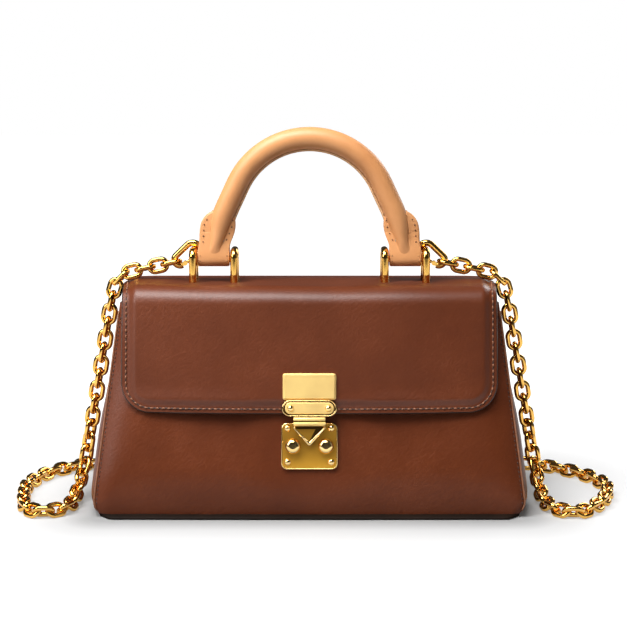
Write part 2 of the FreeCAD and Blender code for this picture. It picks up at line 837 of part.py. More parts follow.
half_barrel = S.barrel_length / 2
knuckle_in = half_barrel - S.knuckle_length
pin_room = barrel(-half_barrel, half_barrel, S.hinge_pin_radius)
pieces = [stadium(S.capsule_width, S.capsule_tall, S.capsule_up, flap_face, flap_face + S.capsule_thick)]
for side in (-1, 1):
    arm = block(S.knuckle_length, S.barrel_up, S.capsule_up, flap_face, flap_face + S.capsule_thick)
    arm.translate(local(side * (half_barrel + knuckle_in) / 2, 0, 0))
    pieces.append(arm)
    pieces.append(barrel(*sorted((side * knuckle_in, side * half_barrel)), S.barrel_radius))
tray = stadium(
    S.bar_width + S.bar_groove * 2,
    S.bar_tall + S.bar_groove * 2,
    S.capsule_up,
    flap_face + S.capsule_thick - S.bar_sink,
    proud,
)
hasp = fused(pieces).cut([pin_room, tray] + [peg(x, up, S.screw_shank, 0, proud) for x, up in screws_at])
feature("hasp_plate", placed(hasp))
pin_shape = barrel(-half_barrel, half_barrel, S.hinge_pin_radius)
feature("hasp_hinge_pin", placed(pin_shape))

screw_seat = flap_face + S.capsule_thick - S.bar_sink + S.bar_thick
screw_long = screw_seat - S.flap_clear + S.backing_thick
screw = mushroom(S.screw_head, S.screw_dome, S.screw_shank, screw_long, 0, 0)
screws = []
for x, up in screws_at:
    one = screw.copy()
    one.Placement = LOCK.multiply(FreeCAD.Placement(local(x, up, screw_seat), FreeCAD.Rotation()))
    screws.append(one)
feature("hasp_screws", Part.Compound(screws))

tongue_in = plate_face + S.tongue_clear
tongue_out = tongue_in + S.tongue_thick
middle_half = knuckle_in - S.knuckle_clear
outline = [
    (-middle_half, S.barrel_up),
    (-middle_half, S.tongue_top),
    (-S.tongue_half_width, S.tongue_top),
    (-S.tongue_half_width, S.tongue_shoulder),
    (-S.tongue_tip_half, S.tongue_tip),
    (S.tongue_tip_half, S.tongue_tip),
    (S.tongue_half_width, S.tongue_shoulder),
    (S.tongue_half_width, S.tongue_top),
    (middle_half, S.tongue_top),
    (middle_half, S.barrel_up),
]
thick = local(0, 0, S.tongue_thick)
tongue_plate = plate([local(x, up, tongue_in) for x, up in outline], thick)
inner_half = S.tongue_half_width - S.tongue_rim
inner_points = [
    (-inner_half, S.tongue_top - S.tongue_rim),
    (0, S.tongue_tip + S.tongue_rim * 1.5),
    (inner_half, S.tongue_top - S.tongue_rim),
]
sunk = plate([local(x, up, tongue_out - S.tongue_sink) for x, up in inner_points], thick)
stud = peg(0, S.stud_up, S.stud_radius, -S.stud_reach, tongue_out)
tongue = fused([tongue_plate, stud]).cut(sunk)
tongue = fused([tongue, barrel(-middle_half, middle_half, S.barrel_radius)])
tongue = tongue.cut(barrel(-half_barrel, half_barrel, S.hinge_pin_radius + S.hinge_pin_clear))
feature("hasp_tongue", placed(tongue))

# Staples, plates and nuts on the flap's top
crown = S.top_height + S.staple_height - S.staple_radius


def staple(x):
    half, bend = S.staple_half_depth, S.staple_bend
    feet = S.top_height
    knee = crown - bend
    turn = bend * math.sqrt(0.5)
    edges = [
        line(V(x, -half, feet), V(x, -half, knee)),
        arc(V(x, -half, knee), V(x, -half + bend - turn, knee + turn), V(x, -half + bend, crown)),
        line(V(x, -half + bend, crown), V(x, half - bend, crown)),
        arc(V(x, half - bend, crown), V(x, half - bend + turn, knee + turn), V(x, half, knee)),
        line(V(x, half, knee), V(x, half, feet)),
    ]
    ring = Part.Wire(Part.makeCircle(S.staple_radius, V(x, -half, feet), UP))
    parts = [Part.Wire(edges).makePipeShell([ring], True, True)]
    for y in (-half, half):
        parts.append(Part.makeCylinder(S.collar_radius, S.collar_thick, V(x, y, feet)))
        parts.append(rod(V(x, y, tenon_low), V(x, y, feet + S.collar_thick), S.tenon_radius))
    return fused(parts)


for x, name, side in staples_at:
    feature("staple_%s_%s" % ("left" if side < 0 else "right", name), staple(x))

for label, side in (("left", -1), ("right", 1)):
    strip = body("staple_plate_" + label)
    margin = term("staple_plate_margin")
    sk = sketch_on(strip, "XY_Plane", Term(plate_low, "%.4f" % plate_low))
    thick_stack = term("top_height") - term("flap_thick") - term("glue_line") - term("flap_lining_thick")
    sk.setExpression("AttachmentOffset.Base.z", (thick_stack - term("staple_plate_thick")).text)
    wide = term("staple_out") - term("staple_in") + margin + margin
    mid = term("staple_in") + (term("staple_out") - term("staple_in")) / 2
    long_way = term("staple_half_depth") + term("staple_half_depth") + margin + margin
    rectangle(sk, wide, long_way, mid if side > 0 else -mid, ZERO)
    for across in (term("staple_in"), term("staple_out")):
        for deep in (term("staple_half_depth"), -term("staple_half_depth")):
            circle(sk, across if side > 0 else -across, deep, term("tenon_radius"))
    pad(strip, sk, term("staple_plate_thick"))

nuts = []
for x, y in feet_at:
    corners = []
    for i in range(6):
        angle = math.radians(60 * i)
        reach = S.nut_flat / math.cos(math.radians(30))
        corners.append(V(x + reach * math.cos(angle), y + reach * math.sin(angle), nut_low))
    nut = plate(corners, V(0, 0, S.nut_thick))
    nuts.append(nut.cut(rod(V(x, y, tenon_low), V(x, y, plate_low), S.tenon_radius)))
feature("staple_nuts", Part.Compound(nuts))

pin_height = crown - S.staple_radius - S.pin_radius
for label, side in (("left", -1), ("right", 1)):
    ends = []
    for x in (S.staple_in - S.staple_radius - S.pin_head_gap, S.staple_out + S.staple_radius + S.pin_head_gap):
        ends.append(V(side * x, S.pin_back, pin_height))
    outward = V(side * S.pin_head_thick, 0, 0)
    shaft = rod(ends[0], ends[1], S.pin_radius)
    heads = [rod(ends[0] - outward, ends[0], S.pin_head), rod(ends[1], ends[1] + outward, S.pin_head)]
    feature("handle_pin_" + label, fused([shaft] + heads))

# Handle: leather grip over a cord core, and a winged tab folded around each pin
arch_centre = pin_height + S.handle_rise - S.grip_radius - S.handle_bend
grip_end = pin_height + S.grip_end_rise
wing_top = pin_height + S.wing_top_rise
splay = math.radians(S.handle_splay)
flare = math.radians(S.handle_flare)


def handle_path(end_height):
    """Half an arch, a straight leg, an easing bend and a straight foot, then the same mirrored."""
    def at(x, z):
        return V(-x, S.pin_back, z)

    knee = at(S.handle_bend * math.cos(flare), arch_centre + S.handle_bend * math.sin(flare))
    leg = knee + at(S.handle_leg * math.sin(flare), -S.handle_leg * math.cos(flare)) - at(0, 0)
    turn = leg - at(S.handle_ease * math.cos(flare), S.handle_ease * math.sin(flare)) + at(0, 0)
    eased = []
    for angle in ((flare + splay) / 2, splay):
        eased.append(turn + at(S.handle_ease * math.cos(angle), S.handle_ease * math.sin(angle)) - at(0, 0))
    drop = eased[1].z - end_height
    foot = eased[1] + at(drop * math.tan(splay), -drop) - at(0, 0)
    top = at(0, arch_centre + S.handle_bend)
    left = [foot, eased[1], eased[0], leg, knee]
    right = [V(-p.x, p.y, p.z) for p in left]
    edges = [line(left[0], left[1]), arc(left[1], left[2], left[3]), line(left[3], left[4])]
    edges.append(arc(left[4], top, right[4]))
    edges += [line(right[4], right[3]), arc(right[3], right[2], right[1]), line(right[1], right[0])]
    return Part.Wire(edges), foot, eased[1] - foot


def tube(radius, end_height):
    path, foot, direction = handle_path(end_height)
    ring = Part.Wire(Part.makeCircle(radius, foot, direction))
    return path.makePipeShell([ring], True, True)


grip = tube(S.grip_radius, grip_end)
core = tube(S.core_radius, grip_end)
feature("handle_grip", grip.cut(core))
feature("handle_core", core)
fold_radius = S.pin_radius + S.fold_bore_clear + S.fold_leather
for label, side in (("left", -1), ("right", 1)):
    low_in = S.tab_centre - S.tab_half_width
    low_out = S.tab_centre + S.tab_half_width
    outline = [
        (low_in, pin_height),
        (low_out, pin_height),
        (low_out, pin_height + S.wing_start_rise),
        (S.wing_out, pin_height + S.wing_rise),
        (S.wing_top_out, wing_top),
        (S.wing_top_in, wing_top),
        (S.wing_in, pin_height + S.wing_rise),
        (low_in, pin_height + S.wing_start_rise),
    ]
    face = [V(side * x, S.pin_back - S.tab_thick / 2, z) for x, z in outline]
    sheet_of_tab = plate(face, V(0, S.tab_thick, 0))
    a = V(side * low_in, S.pin_back, pin_height)
    b = V(side * low_out, S.pin_back, pin_height)
    behind = Part.makeBox(
        S.tab_half_width * 4, S.grip_radius * 2, wing_top - grip_end,
        V(side * S.tab_centre - S.tab_half_width * 2, S.pin_back, grip_end)
    )
    sleeve = tube(S.grip_radius + S.sleeve_thick, grip_end).common(behind)
    tab = fused([sheet_of_tab, rod(a, b, fold_radius), sleeve])
    tab = tab.cut([grip.fuse(core), rod(a, b, S.pin_radius + S.fold_bore_clear)])
    feature("handle_tab_" + label, tab)

# Snap clips around the outer staples, each with a sprung gate on a pin
slope = math.radians(S.clip_slope)


def clip_point(side, along, across, deep):
    """A point of the clip: along its length, across it, and deep along Y from its middle."""
    x = along * math.cos(slope) + across * math.sin(slope)
    z = across * math.cos(slope) - along * math.sin(slope)
    return V(side * (S.staple_out + x), S.clip_back + deep, crown + z)


near = S.clip_bend - S.clip_wire - S.staple_radius - S.clip_clear
far = near + S.clip_reach
taper = math.asin((S.clip_bend - S.clip_tail) / S.clip_reach)
big_in = (near + S.clip_bend * math.sin(taper), S.clip_bend * math.cos(taper))
small_in = (far + S.clip_tail * math.sin(taper), S.clip_tail * math.cos(taper))
run = (math.cos(taper), -math.sin(taper))


def on_gate_side(distance, across=0.0):
    """A place on the gate's straight side, from the small bend towards the big one."""
    along = small_in[0] - run[0] * distance + run[1] * across
    return along, -(small_in[1] - run[1] * distance) + run[0] * across


def slab(side, start, end, half, deep_from, deep_to):
    corners = []
    for distance, across in ((start, -half), (end, -half), (end, half), (start, half)):
        corners.append(clip_point(side, *on_gate_side(distance, across), deep_from))
    return plate(corners, V(0, deep_to - deep_from, 0))


side_length = S.clip_reach * math.cos(taper)
gate_end = side_length - S.gate_gap
eye_half = S.gate_eye_thick / 2
cheek_in = eye_half + S.gate_cheek_clear
cheek_out = cheek_in + S.gate_cheek_thick
for label, side in (("left", -1), ("right", 1)):
    stub = on_gate_side(S.gate_set - S.gate_eye - S.gate_gap)
    pivot = on_gate_side(S.gate_set)
    path = [
        line(clip_point(side, *stub, 0), clip_point(side, small_in[0], -small_in[1], 0)),
        arc(
            clip_point(side, small_in[0], -small_in[1], 0),
            clip_point(side, far + S.clip_tail, 0, 0),
            clip_point(side, small_in[0], small_in[1], 0),
        ),
        line(clip_point(side, small_in[0], small_in[1], 0), clip_point(side, big_in[0], big_in[1], 0)),
        arc(
            clip_point(side, big_in[0], big_in[1], 0),
            clip_point(side, near - S.clip_bend, 0, 0),
            clip_point(side, big_in[0], -big_in[1], 0),
        ),
    ]
    direction = clip_point(side, small_in[0], -small_in[1], 0) - clip_point(side, *stub, 0)
    ring = Part.Wire(Part.makeCircle(S.clip_wire, clip_point(side, *stub, 0), direction))
    pieces = [Part.Wire(path).makePipeShell([ring], True, True)]
    for facing in (-1, 1):
        a, b = sorted((facing * cheek_in, facing * cheek_out))
        pieces.append(slab(side, 0, S.gate_set, S.gate_wire, a, b))
        pieces.append(rod(clip_point(side, *pivot, a), clip_point(side, *pivot, b), S.gate_eye))
    pin_ends = [clip_point(side, *pivot, deep) for deep in (-cheek_out, cheek_out)]
    feature("clip_" + label, fused(pieces).cut(rod(*pin_ends, S.gate_pin)))
    feature("clip_pin_" + label, rod(*pin_ends, S.gate_pin))
    eye = rod(clip_point(side, *pivot, -eye_half), clip_point(side, *pivot, eye_half), S.gate_eye)
    arm_start = S.gate_set + S.gate_eye + S.gate_gap
    neck = slab(side, S.gate_set, arm_start + S.gate_gap, S.gate_wire - S.gate_gap, -eye_half, eye_half)
    start = clip_point(side, *on_gate_side(arm_start), 0)
    end = clip_point(side, *on_gate_side(gate_end), 0)
    gate = fused([eye, neck, rod(start, end, S.gate_wire)])
    feature("clip_gate_" + label, gate.cut(rod(*pin_ends, S.gate_pin + S.gate_pin_clear)))

# Chain: welded links along one curve from clip to clip, over the sides, around two loops on the floor
# and behind the bag. The curve's points are taken from the bag's own sizes, in shares of a link's width.
floor_height = (S.link_width - S.link_wire) / 2 * math.sqrt(0.5) + S.link_wire / 2 + S.chain_floor_clear
hang = S.clip_tail - S.clip_wire - S.link_wire / 2 - S.clip_clear * 2
joint_back = (S.link_wire + S.link_slack) / 2
TOP_SHARES = ((-1.98, 0.56), (-0.47, 0.56), (0.62, 0.42))
RUN_SHARES = ((1.0, 1.15), (0.83, 1.15), (0.55, 1.15), (0.28, 1.15), (0.12, 1.15))
LEFT_LOOP_SHARES = (
    (1.15, -2.3), (1.25, -4.5), (2.85, -5.7), (4.45, -4.3), (5.0, -1.5), (5.3, 0.8), (4.6, 3.1), (3.5, 4.7)
)
RIGHT_LOOP_SHARES = (
    (1.0, -2.4), (1.3, -4.6), (2.6, -5.8), (4.4, -4.4), (5.7, -1.9), (6.2, 0.8), (5.3, 3.3), (3.7, 4.9)
)
BACK_SHARES = ((1.0, 1.3), (-3.0, 1.55), (-7.0, 1.35))


def half_route(side, loop_shares):
    unit = S.link_width
    points = [clip_point(side, far + hang + joint_back, 0, 0)]
    for out, up in TOP_SHARES:
        points.append(V(side * (S.flap_half_width + out * unit), S.clip_back, S.top_height + up * unit))
    for high, out in RUN_SHARES:
        height = rim_height * high
        wide = even(S.base_half_width + S.gusset_swell, S.rim_half_width - S.gusset_tuck, height)
        points.append(V(side * (wide + out * unit), S.clip_back, max(height, floor_height)))
    edge = S.base_half_width + S.gusset_swell
    for out, deep in loop_shares:
        points.append(V(side * (edge + out * unit), deep * unit, floor_height))
    for out, deep in BACK_SHARES:
        behind = S.base_half_depth + S.back_swell + deep * unit
        points.append(V(side * (edge + out * unit), behind, floor_height))
    return points


route = half_route(-1, LEFT_LOOP_SHARES) + list(reversed(half_route(1, RIGHT_LOOP_SHARES)))
curve = Part.BSplineCurve()
curve.buildFromPoles(route, False, 2)
pitch = S.link_length - S.link_wire * 2 - S.link_slack
link_count = 2 * round((curve.length() / pitch - 1) / 2) + 1
joints = [curve.value(curve.parameterAtDistance(curve.length() * i / link_count)) for i in range(link_count)]
joints.append(route[-1])


def link():
    """One welded link in the XY plane, its length along X."""
    radius = (S.link_width - S.link_wire) / 2
    straight = (S.link_length - S.link_width) / 2
    edges = [
        line(V(-straight, radius, 0), V(straight, radius, 0)),
        arc(V(straight, radius, 0), V(straight + radius, 0, 0), V(straight, -radius, 0)),
        line(V(straight, -radius, 0), V(-straight, -radius, 0)),
        arc(V(-straight, -radius, 0), V(-straight - radius, 0, 0), V(-straight, radius, 0)),
    ]
    ring = Part.Wire(Part.makeCircle(S.link_wire / 2, V(-straight, radius, 0), ALONG_X))
    return Part.Wire(edges).makePipeShell([ring], True, True)


one_link = link()
across = ALONG_Y
groups = {}
for i in range(link_count):
    along = joints[i + 1] - joints[i]
    along.normalize()
    across = across - along * across.dot(along)
    across.normalize()
    centre = (joints[i] + joints[i + 1]) * 0.5
    raised = centre.z - floor_height - S.link_width * 2
    lying = min(1.0, max(0.0, 1.0 - raised / (S.link_width * 4)))
    lying = lying * lying * (3.0 - 2.0 * lying)
    level = UP.cross(along)
    upright = along.cross(level)
    level = max((level, level * -1, upright, upright * -1), key=across.dot)
    level.normalize()
    landed = min(1.0, max(0.0, 1.0 - (centre.z - floor_height) / S.link_width))
    across = across * (1.0 - landed) + level * landed
    across = across - along * across.dot(along)
    across.normalize()
    roll = 45.0 * lying
    if i % 2:
        roll += 90.0
    upward = along.cross(across)
    wide = across * math.cos(math.radians(roll)) + upward * math.sin(math.radians(roll))
    turned = FreeCAD.Rotation(along, wide, along.cross(wide), "XYZ")
    copy = one_link.copy()
    copy.Placement = FreeCAD.Placement(centre, turned)
    if centre.z > S.link_width:
        name = "chain_run"
    elif centre.y > S.base_half_depth + S.back_swell:
        name = "chain_back"
    else:
        name = "chain_loop"
    if name != "chain_back":
        name += "_left" if centre.x < 0 else "_right"
    groups.setdefault(name, []).append(copy)
for name, links in groups.items():
    feature(name, Part.Compound(links))

doc.recompute()
made = []
for obj in doc.Objects:
    if "Invalid" in obj.State or "Error" in obj.State:
        raise RuntimeError("not built: " + obj.Label)
    if obj.TypeId in ("PartDesign::Body", "Part::Feature"):
        if obj.Shape.isNull() or not obj.Shape.isValid() or not obj.Shape.Solids:
            raise RuntimeError("no valid solid: " + obj.Label)
        made.append(obj)
os.makedirs("parts", exist_ok=True)
for obj in made:
    obj.Shape.exportStep("parts/%s.step" % obj.Label)
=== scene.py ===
from math import asin, atan2, cos, exp, hypot, inf, pi, radians, sin, sqrt, tan

import bpy
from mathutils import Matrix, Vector, noise

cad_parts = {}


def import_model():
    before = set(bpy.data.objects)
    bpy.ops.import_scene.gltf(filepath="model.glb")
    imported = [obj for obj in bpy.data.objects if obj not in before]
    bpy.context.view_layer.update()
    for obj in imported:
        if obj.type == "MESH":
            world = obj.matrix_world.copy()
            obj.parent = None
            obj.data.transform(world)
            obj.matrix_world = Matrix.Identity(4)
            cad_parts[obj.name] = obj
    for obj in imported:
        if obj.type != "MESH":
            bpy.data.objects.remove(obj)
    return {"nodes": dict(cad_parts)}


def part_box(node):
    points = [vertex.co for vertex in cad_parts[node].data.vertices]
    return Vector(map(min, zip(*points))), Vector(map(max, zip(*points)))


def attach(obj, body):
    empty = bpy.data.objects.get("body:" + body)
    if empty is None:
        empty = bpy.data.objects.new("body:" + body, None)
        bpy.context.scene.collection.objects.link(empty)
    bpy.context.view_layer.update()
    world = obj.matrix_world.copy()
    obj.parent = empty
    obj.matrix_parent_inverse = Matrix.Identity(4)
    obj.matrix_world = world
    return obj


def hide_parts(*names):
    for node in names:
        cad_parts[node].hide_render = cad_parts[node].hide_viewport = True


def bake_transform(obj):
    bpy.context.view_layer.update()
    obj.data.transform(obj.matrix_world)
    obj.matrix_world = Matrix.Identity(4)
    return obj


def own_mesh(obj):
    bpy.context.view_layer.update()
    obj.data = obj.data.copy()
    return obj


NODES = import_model()["nodes"]
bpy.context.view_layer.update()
MM = 0.001
SIDES = ((-1, "left"), (1, "right"))
FACES = ((-1, "front"), (1, "back"))

# Sizes of the bag, in millimetres, as in the model
BASE_HALF, RIM_HALF = 123.0, 109.0
BASE_DEEP, RIM_DEEP = 50.0, 28.0
FRONT_SEAM, BACK_SEAM = 52.3, 49.6
FRONT_SWELL, BACK_SWELL = 5.0, 2.0
RIM_TURN = 11.0
GUSSET_SWELL, GUSSET_TUCK = 4.2, 1.2
LOW, RIM, GUSSET_TOP, BACK_TOP = 3.4, 118.5, 114.0, 112.0
TOP = 129.5
FLAP_HALF, FLAP_BOTTOM, FLAP_CORNER = 106.2, 60.2, 16.0
FLAP_THICK, FLAP_ROLL, FLAP_WRAP = 2.6, 12.0, 5.5
FLAP_GAP, CLOTH_THICK, GLUE = 1.2, 0.8, 0.05
FOLD_DEEP = 28.5
LOCK_HEIGHT = 41.0
LEAN = atan2(BASE_DEEP - RIM_DEEP, RIM - LOW)
FLAP_OUT = FLAP_GAP + CLOTH_THICK + GLUE + FLAP_THICK

# What turns in near the ground: how far, from what height, over what rise, power
CORNER_ROUND = (4.0, 2.0, 8.0, 2.0)
WALL_FOOT = (3.6, 1.5, 26.0, 2.2)
SIDE_FOOT = (4.5, 0.5, 14.0, 2.0)


def clamp(value, low=0.0, high=1.0):
    return max(low, min(high, value))


def smooth(value):
    value = clamp(value)
    return value * value * (3.0 - 2.0 * value)


def step(value, start, span):
    """A smooth step from zero to one, given as where it starts and its span."""
    return smooth((value - start) / span)


def hump(value, start, rise, end, fall):
    """One between the start and the end, with smooth flanks."""
    return step(value, start, rise) * (1.0 - step(value, end, fall))


def between(first, last, part):
    return first + (last - first) * part


def even(low, high, z):
    return between(low, high, (z - LOW) / (RIM - LOW))


def turned_in(z, far, start, rise, power):
    """How far something turns in near the ground."""
    return far * clamp(1.0 - (z - start) / rise) ** power


def half_at(z):
    """Half the width of the walls at one height, with rounded lower corners."""
    return even(BASE_HALF, RIM_HALF, z) - turned_in(z, *CORNER_ROUND)


SWELL_STEP, TUCK_STEP = (100.0, -60.0), (96.0, 20.0)


def side_bulge(z):
    """How far the sides swell out beyond the seams at one height."""
    return GUSSET_SWELL * step(z, *SWELL_STEP) - GUSSET_TUCK * step(z, *TUCK_STEP)


# Materials
WHITE = (1.0, 1.0, 1.0, 1.0)
PAINTED_SHADE_SPAN = 0.1


def new_material(name):
    mat = bpy.data.materials.new(name)
    mat.use_nodes = True
    return mat, mat.node_tree, mat.node_tree.nodes["Principled BSDF"]


def wire(tree, node, inputs):
    """Set a node's inputs to values, or link them to outputs."""
    for key, value in inputs.items():
        if isinstance(value, bpy.types.NodeSocket):
            tree.links.new(value, node.inputs[key])
        else:
            node.inputs[key].default_value = value


def add(tree, kind, inputs, output=0, **settings):
    """One output of a new node."""
    node = tree.nodes.new("ShaderNode" + kind)
    for key, value in settings.items():
        setattr(node, key, value)
    wire(tree, node, inputs)
    return node.outputs[output]


def object_place(tree):
    return add(tree, "TexCoord", {}, "Object")


def maths(tree, operation, *values):
    return add(tree, "Math", dict(enumerate(values)), operation=operation)


def vectors(tree, operation, *values, output="Vector"):
    return add(tree, "VectorMath", dict(enumerate(values)), output, operation=operation)


def mixed(tree, share, first, second, blend_type="MIX"):
    return add(tree, "MixRGB", {"Fac": share, "Color1": first, "Color2": second}, blend_type=blend_type)


def ranged(tree, value, low, high, start=0.0, end=1.0):
    """A value from start to end, taken to low to high."""
    limits = {"From Min": start, "From Max": end, "To Min": low, "To Max": high}
    return add(tree, "MapRange", {"Value": value, **limits})


def speckle(tree, place, scale, detail, rough=0.5, warp=0.0):
    look = {"Scale": scale, "Detail": detail, "Roughness": rough, "Distortion": warp}
    return add(tree, "TexNoise", {"Vector": place, **look})


def bumps(tree, height, strength, distance):
    return add(tree, "Bump", {"Height": height, "Strength": strength, "Distance": distance})


def ramp(tree, value, stops):
    """A colour ramp with stops of (place, colour)."""
    node = tree.nodes.new("ShaderNodeValToRGB")
    band = node.color_ramp.elements
    while len(band) < len(stops):
        band.new(0.5)
    for element, (place, colour) in zip(band, stops):
        element.position = place
        element.color = (*colour, 1.0)
    tree.links.new(value, node.inputs["Fac"])
    return node.outputs["Color"]


def grey_ramp(tree, value, span, stops):
    """A ramp of greys over distances up to a span."""
    scaled = maths(tree, "MULTIPLY", value, 1.0 / span)
    return ramp(tree, scaled, [(distance / span, (tone, tone, tone)) for distance, tone in stops])


def shaded(colour, share, more=0.0):
    return tuple(min(1.0, c * share + more) for c in colour)


def leather(name, tones, rough, grain, bump, shine=0.5, lines=0.0, wax=0.0, wax_rough=0.3):
    """Mottled leather: fine pebbling, slanting creases, lighter crease lines that are partly wear and partly
    painted sheen, uneven sheen, wax.
    """
    mat, tree, shader = new_material(name)
    place = object_place(tree)
    mottle = speckle(tree, place, scale=22.0, detail=5.0, rough=0.6)
    colours = ramp(tree, mottle, list(zip((0.3, 0.52, 0.74), tones)))
    slant = {"Vector": place, "Rotation": (0.2, -0.9, 0.2), "Scale": (1.7, 1.0, 1.0)}
    stretch = add(tree, "Mapping", slant, vector_type="TEXTURE")
    pebble = add(tree, "TexVoronoi", {"Vector": stretch, "Scale": grain}, feature="SMOOTH_F1")
    crease = speckle(tree, stretch, scale=grain * 0.5, detail=6.0, rough=0.62, warp=0.8)
    wrinkle = speckle(tree, stretch, scale=grain * 0.4, detail=2.5, rough=0.5, warp=0.6)
    apart = maths(tree, "ABSOLUTE", maths(tree, "SUBTRACT", wrinkle, 0.5))
    line = ranged(tree, apart, 1.0, 0.0, end=0.05)
    patch = ranged(tree, mottle, 0.0, 1.0, start=0.42, end=0.68)
    fine = maths(tree, "MULTIPLY", line, patch)
    # Lighter lines along the fine creases: partly wear, partly painted sheen.
    worn_and_sheen = maths(tree, "MULTIPLY", fine, lines)
    height = maths(tree, "MULTIPLY_ADD", fine, -1.2 * lines, mixed(tree, 0.65, pebble, crease))
    wire(tree, shader, {
        "Base Color": mixed(tree, worn_and_sheen, colours, (*shaded(tones[-1], 1.5, 0.012), 1.0)),
        "Normal": bumps(tree, height, bump, 0.0011),
        "Roughness": ranged(tree, crease, rough - 0.07, rough + 0.09),
        "Specular IOR Level": shine, "Coat Weight": wax, "Coat Roughness": wax_rough,
    })
    return mat


def metal(name, colour, rough, wear, brushed=0.0, metallic=1.0, painted_shade=()):
    """Plated metal: slight colour drift, fine marks, and where given a painted shade that darkens bands by
    height.
    """
    mat, tree, shader = new_material(name)
    place = object_place(tree)
    drift = speckle(tree, place, scale=60.0, detail=3.0)
    colours = ramp(tree, drift, ((0.35, shaded(colour, 0.9)), (0.65, shaded(colour, 1.05))))
    # Painted shade: darker bands by height, multiplied into the colour.
    if painted_shade:
        height = add(tree, "SeparateXYZ", {"Vector": place}, "Z")
        colours = mixed(tree, 1.0, colours, grey_ramp(tree, height, PAINTED_SHADE_SPAN, painted_shade), "MULTIPLY")
    stretch = add(tree, "Mapping", {"Vector": place, "Scale": (1.0, 1.0, 1.0 + brushed)})
    marks = speckle(tree, stretch, scale=900.0, detail=4.0, rough=0.7)
    wire(tree, shader, {
        "Metallic": metallic, "Base Color": colours,
        "Roughness": ranged(tree, marks, rough, rough + wear),
        "Normal": bumps(tree, marks, 0.03 + wear * 0.2, 0.0001),
    })
    return mat


def cloth(name, colour, scale):
    """Woven lining: crossed threads in bump and tone."""
    mat, tree, shader = new_material(name)
    thread = {"Vector": object_place(tree), "Scale": scale, "Distortion": 0.4}
    warp, weft = (add(tree, "TexWave", thread, bands_direction=axis) for axis in ("X", "Z"))
    weave = mixed(tree, 0.7, warp, weft, "MULTIPLY")
    wire(tree, shader, {
        "Base Color": ramp(tree, weave, ((0.0, shaded(colour, 0.7)), (1.0, colour))),
        "Normal": bumps(tree, weave, 0.35, 0.0003), "Roughness": 0.85,
    })
    return mat


def painted(name, colour, rough):
    """Edge paint and thread: one colour with a slight grain."""
    mat, tree, shader = new_material(name)
    tone = speckle(tree, object_place(tree), scale=400.0, detail=3.0)
    wire(tree, shader, {
        "Base Color": ramp(tree, tone, ((0.3, shaded(colour, 0.75)), (0.7, colour))),
        "Normal": bumps(tree, tone, 0.2, 0.0002), "Roughness": rough,
    })
    return mat


BROWN_TONES = ((0.092, 0.0188, 0.0042), (0.110, 0.0232, 0.0054), (0.130, 0.0286, 0.0074))
# The base's near-black tones paint the shade under the bag's foot.
BASE_SHADE_TONES = ((0.006, 0.003, 0.0018), (0.009, 0.0045, 0.0026), (0.013, 0.0065, 0.0037))
TAN_TONES = ((0.56, 0.235, 0.082), (0.65, 0.292, 0.110), (0.71, 0.340, 0.142))
BROWN_FEEL = {"rough": 0.46, "grain": 820.0, "bump": 0.34, "shine": 0.12, "lines": 0.20}
# Painted shade on the lock plate: darkest near the tongue, full tone at the bottom.
PLATE_PAINTED_SHADE = ((0.027, 1.0), (0.034, 0.72), (0.043, 0.42), (0.052, 0.62))
BROWN = leather("brown_leather", BROWN_TONES, **BROWN_FEEL, wax=0.28, wax_rough=0.33)
FLAP_BROWN = leather("flap_brown_leather", BROWN_TONES, **BROWN_FEEL, wax=0.58, wax_rough=0.38)
DARK = leather("base_leather", BASE_SHADE_TONES, rough=0.65, grain=620.0, bump=0.2, shine=0.08)
TAN = leather("tan_leather", TAN_TONES, rough=0.45, grain=800.0, bump=0.08)
GOLD = metal("polished_gold", (0.82, 0.47, 0.11), 0.09, 0.08)
SATIN = metal("satin_gold", (1.0, 0.68, 0.24), 0.42, 0.10, brushed=6.0, metallic=0.50)
PLATE = metal("lock_gold", (1.0, 0.49, 0.050), 0.34, 0.08, brushed=6.0, metallic=0.72, painted_shade=PLATE_PAINTED_SHADE)
INNER = metal("inner_brass", (0.48, 0.33, 0.13), 0.38, 0.16)
STEEL = metal("spring_steel", (0.55, 0.55, 0.56), 0.28, 0.15)
LINING = cloth("lining_cloth", (0.16, 0.075, 0.036), 900.0)
BOARD = cloth("board_fibre", (0.38, 0.30, 0.21), 500.0)
CORD = cloth("core_cord", (0.62, 0.54, 0.42), 700.0)
EDGE = painted("edge_paint", (0.030, 0.013, 0.007), 0.38)
# Lighter brown along the side seams: the cut edge's tone with a painted highlight.
RAW_EDGE_AND_HIGHLIGHT = painted("raw_edge_and_highlight", (0.25, 0.10, 0.048), 0.5)
THREAD = painted("brown_thread", (0.25, 0.100, 0.047), 0.6)
# Dark brown: the side seams' thread, and painted shade in the flap's stitch groove.
DARK_THREAD_AND_SHADE = painted("dark_thread_and_shade", (0.048, 0.016, 0.007), 0.6)
TAN_HOLE = painted("tan_stitch", (0.16, 0.060, 0.020), 0.7)
# Lighter tan for the handle seam's lips: the edge's tone with a painted highlight on the ridge.
TAN_EDGE_AND_HIGHLIGHT = painted("tan_edge_and_highlight", (0.80, 0.47, 0.24), 0.5)
# Dark tan: the loop's stitches, and painted shade in the handle seam's groove.
TAN_DARK = painted("tan_dark", (0.47, 0.215, 0.075), 0.6)
# Lighter gold for the buttons, rivets and screws; on the lock's rims it paints bright highlight lines.
GLEAM = metal("bright_gold_and_highlight", (0.95, 0.67, 0.28), 0.13, 0.08)
# Near-black gold: painted shade and painted reflection in the hasp's groove and the tongue's hollow.
SHADE = metal("painted_shade_gold", (0.07, 0.038, 0.010), 0.34, 0.12)
WALL_MATS = [BROWN, EDGE, LINING]
FLAP_MATS = [FLAP_BROWN, EDGE, LINING]

